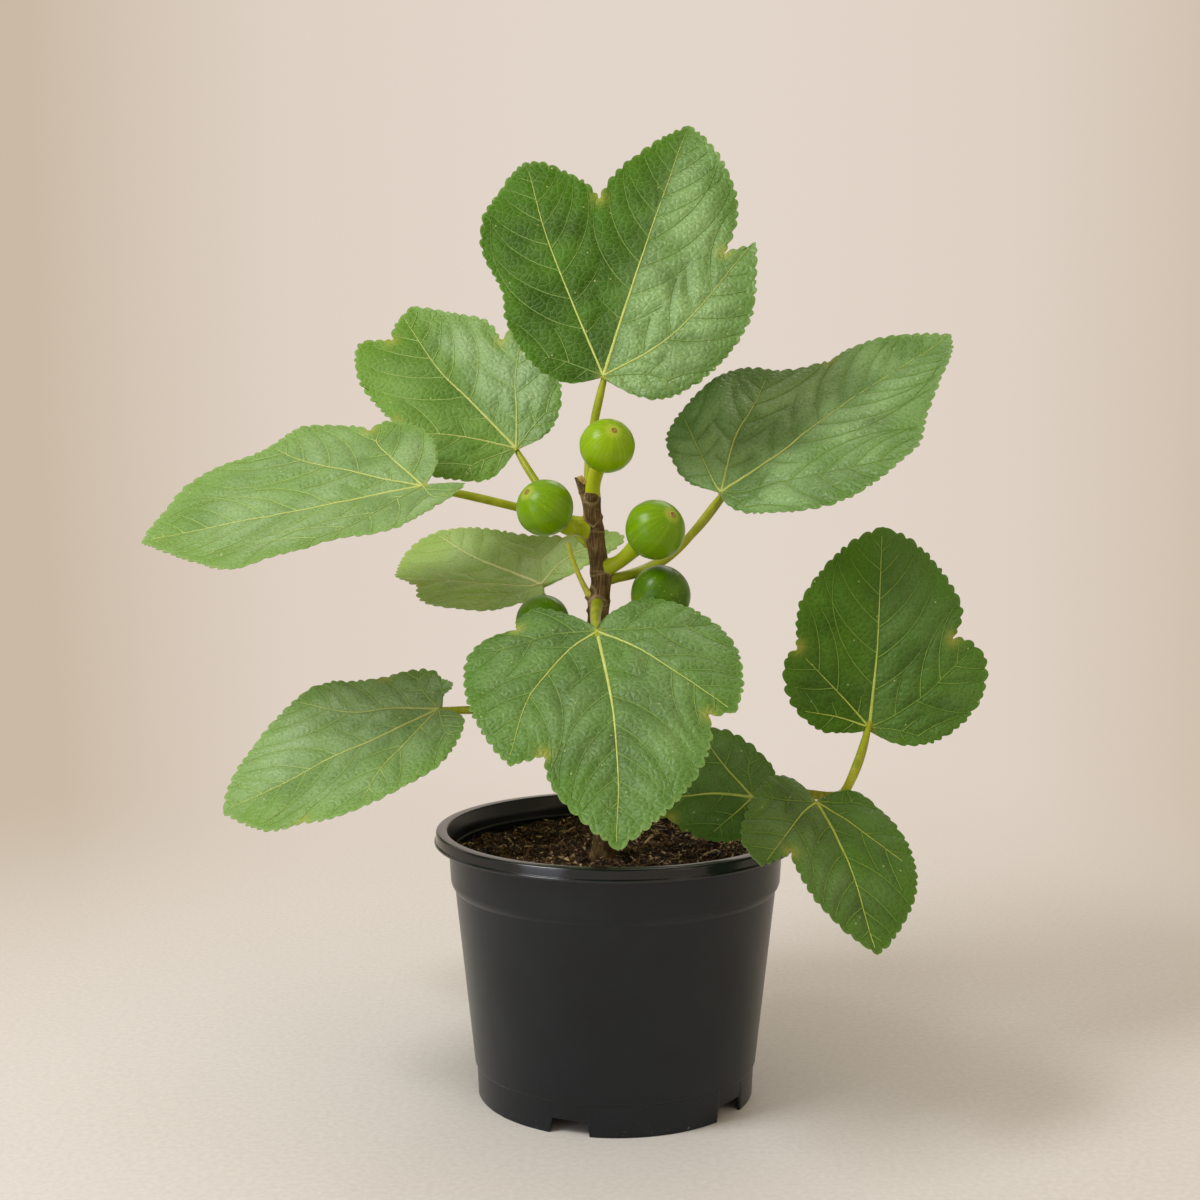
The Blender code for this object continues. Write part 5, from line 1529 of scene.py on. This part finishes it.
reach = np.concatenate([[0.02], np.geomspace(0.2, 60, 40)])[:, None]
turns = np.linspace(0, 2 * math.pi, 64, endpoint=False)
floor_rings = np.stack([reach * np.cos(turns), reach * np.sin(turns), 0 * reach * turns], axis=-1)
slab_rings = np.concatenate([floor_rings - (0, 0, 0.02), floor_rings[::-1]])
floor_points, floor_faces = ring_solid(slab_rings)
screed, tree, shader = new_finish("pale floor", {"Roughness": 0.75})
place = add_node(tree, "TexCoord").outputs["Object"]
mottle = add_node(tree, "TexNoise", {"Scale": 1 / (4 * MM), "Detail": 4.0}, {"Vector": place})
tint = add_node(
    tree, "ValToRGB", {"stops": [(0.3, "d6d5d3"), (0.7, "e0dfdd")]}, {0: mottle.outputs["Fac"]}
)
# Further out the floor turns into a glow in the room's tone: painted light, not a lamp.
far = add_node(tree, "VectorMath", {"operation": "LENGTH"}, {0: place}).outputs["Value"]
fade = add_node(
    tree, "MapRange", {"interpolation_type": "SMOOTHSTEP", "From Min": 0.3, "From Max": 1.25},
    {"Value": far},
)
ahead = add_node(tree, "VectorMath", {"operation": "ADD", 1: (0, 1.2, 0)}, {0: place}).outputs[0]
glow = add_node(tree, "Emission", {"Strength": 1.0}, {"Color": room_tone(tree, ahead)})
both = add_node(
    tree, "MixShader", links={0: fade.outputs["Result"], 1: shader.outputs[0], 2: glow.outputs[0]}
)
tree.links.new(tint.outputs["Color"], shader.inputs["Base Color"])
tree.links.new(both.outputs[0], tree.nodes["Material Output"].inputs["Surface"])
floor = make_piece("studio_floor", floor_points, floor_faces, [screed])

room = bpy.data.worlds.new("pale room")
bpy.context.scene.world = room
room.use_nodes = True
tree = room.node_tree
backdrop = tree.nodes["Background"]
tree.links.new(
    room_tone(tree, add_node(tree, "TexCoord").outputs["Object"]), backdrop.inputs["Color"]
)


def soft_light(name, place, aim, size, power, code):
    """A square area light at a place, turned to face a point."""
    lamp = bpy.data.lights.new(name, "AREA")
    lamp.size, lamp.energy, lamp.color = size, power, linear(code)[:3]
    light = bpy.data.objects.new(name, lamp)
    light.location = place
    light.rotation_euler = (Vector(aim) - Vector(place)).to_track_quat("-Z", "Y").to_euler()
    bpy.context.scene.collection.objects.link(light)


soft_light("key light", (-1.42, -0.9, 1.95), (0, 0, 0.3), 0.85, 34, "fffdfa")
soft_light("window light", (-1.4, -1.4, 0.35), (0, 0, 0.15), 0.9, 6.5, "dfe9ff")
soft_light("fill light", (1.6, -1.2, 0.9), (0, 0, 0.25), 1.2, 3.0, "ffdfba")
soft_light("back light", (0.6, 1.6, 1.8), (0, 0, 0.35), 1.0, 6, "ffffff")

lens = bpy.data.cameras.new("photo camera")
lens.angle = 2 * math.atan(PHOTO_WIDTH / 2 / CAMERA_LENGTH)
camera = bpy.data.objects.new("photo camera", lens)
camera.location = CAMERA_PLACE
camera.rotation_euler = (math.radians(90 - CAMERA_PITCH), 0, 0)
bpy.context.scene.collection.objects.link(camera)
bpy.context.scene.camera = camera
bpy.context.scene.view_settings.view_transform = "Standard"
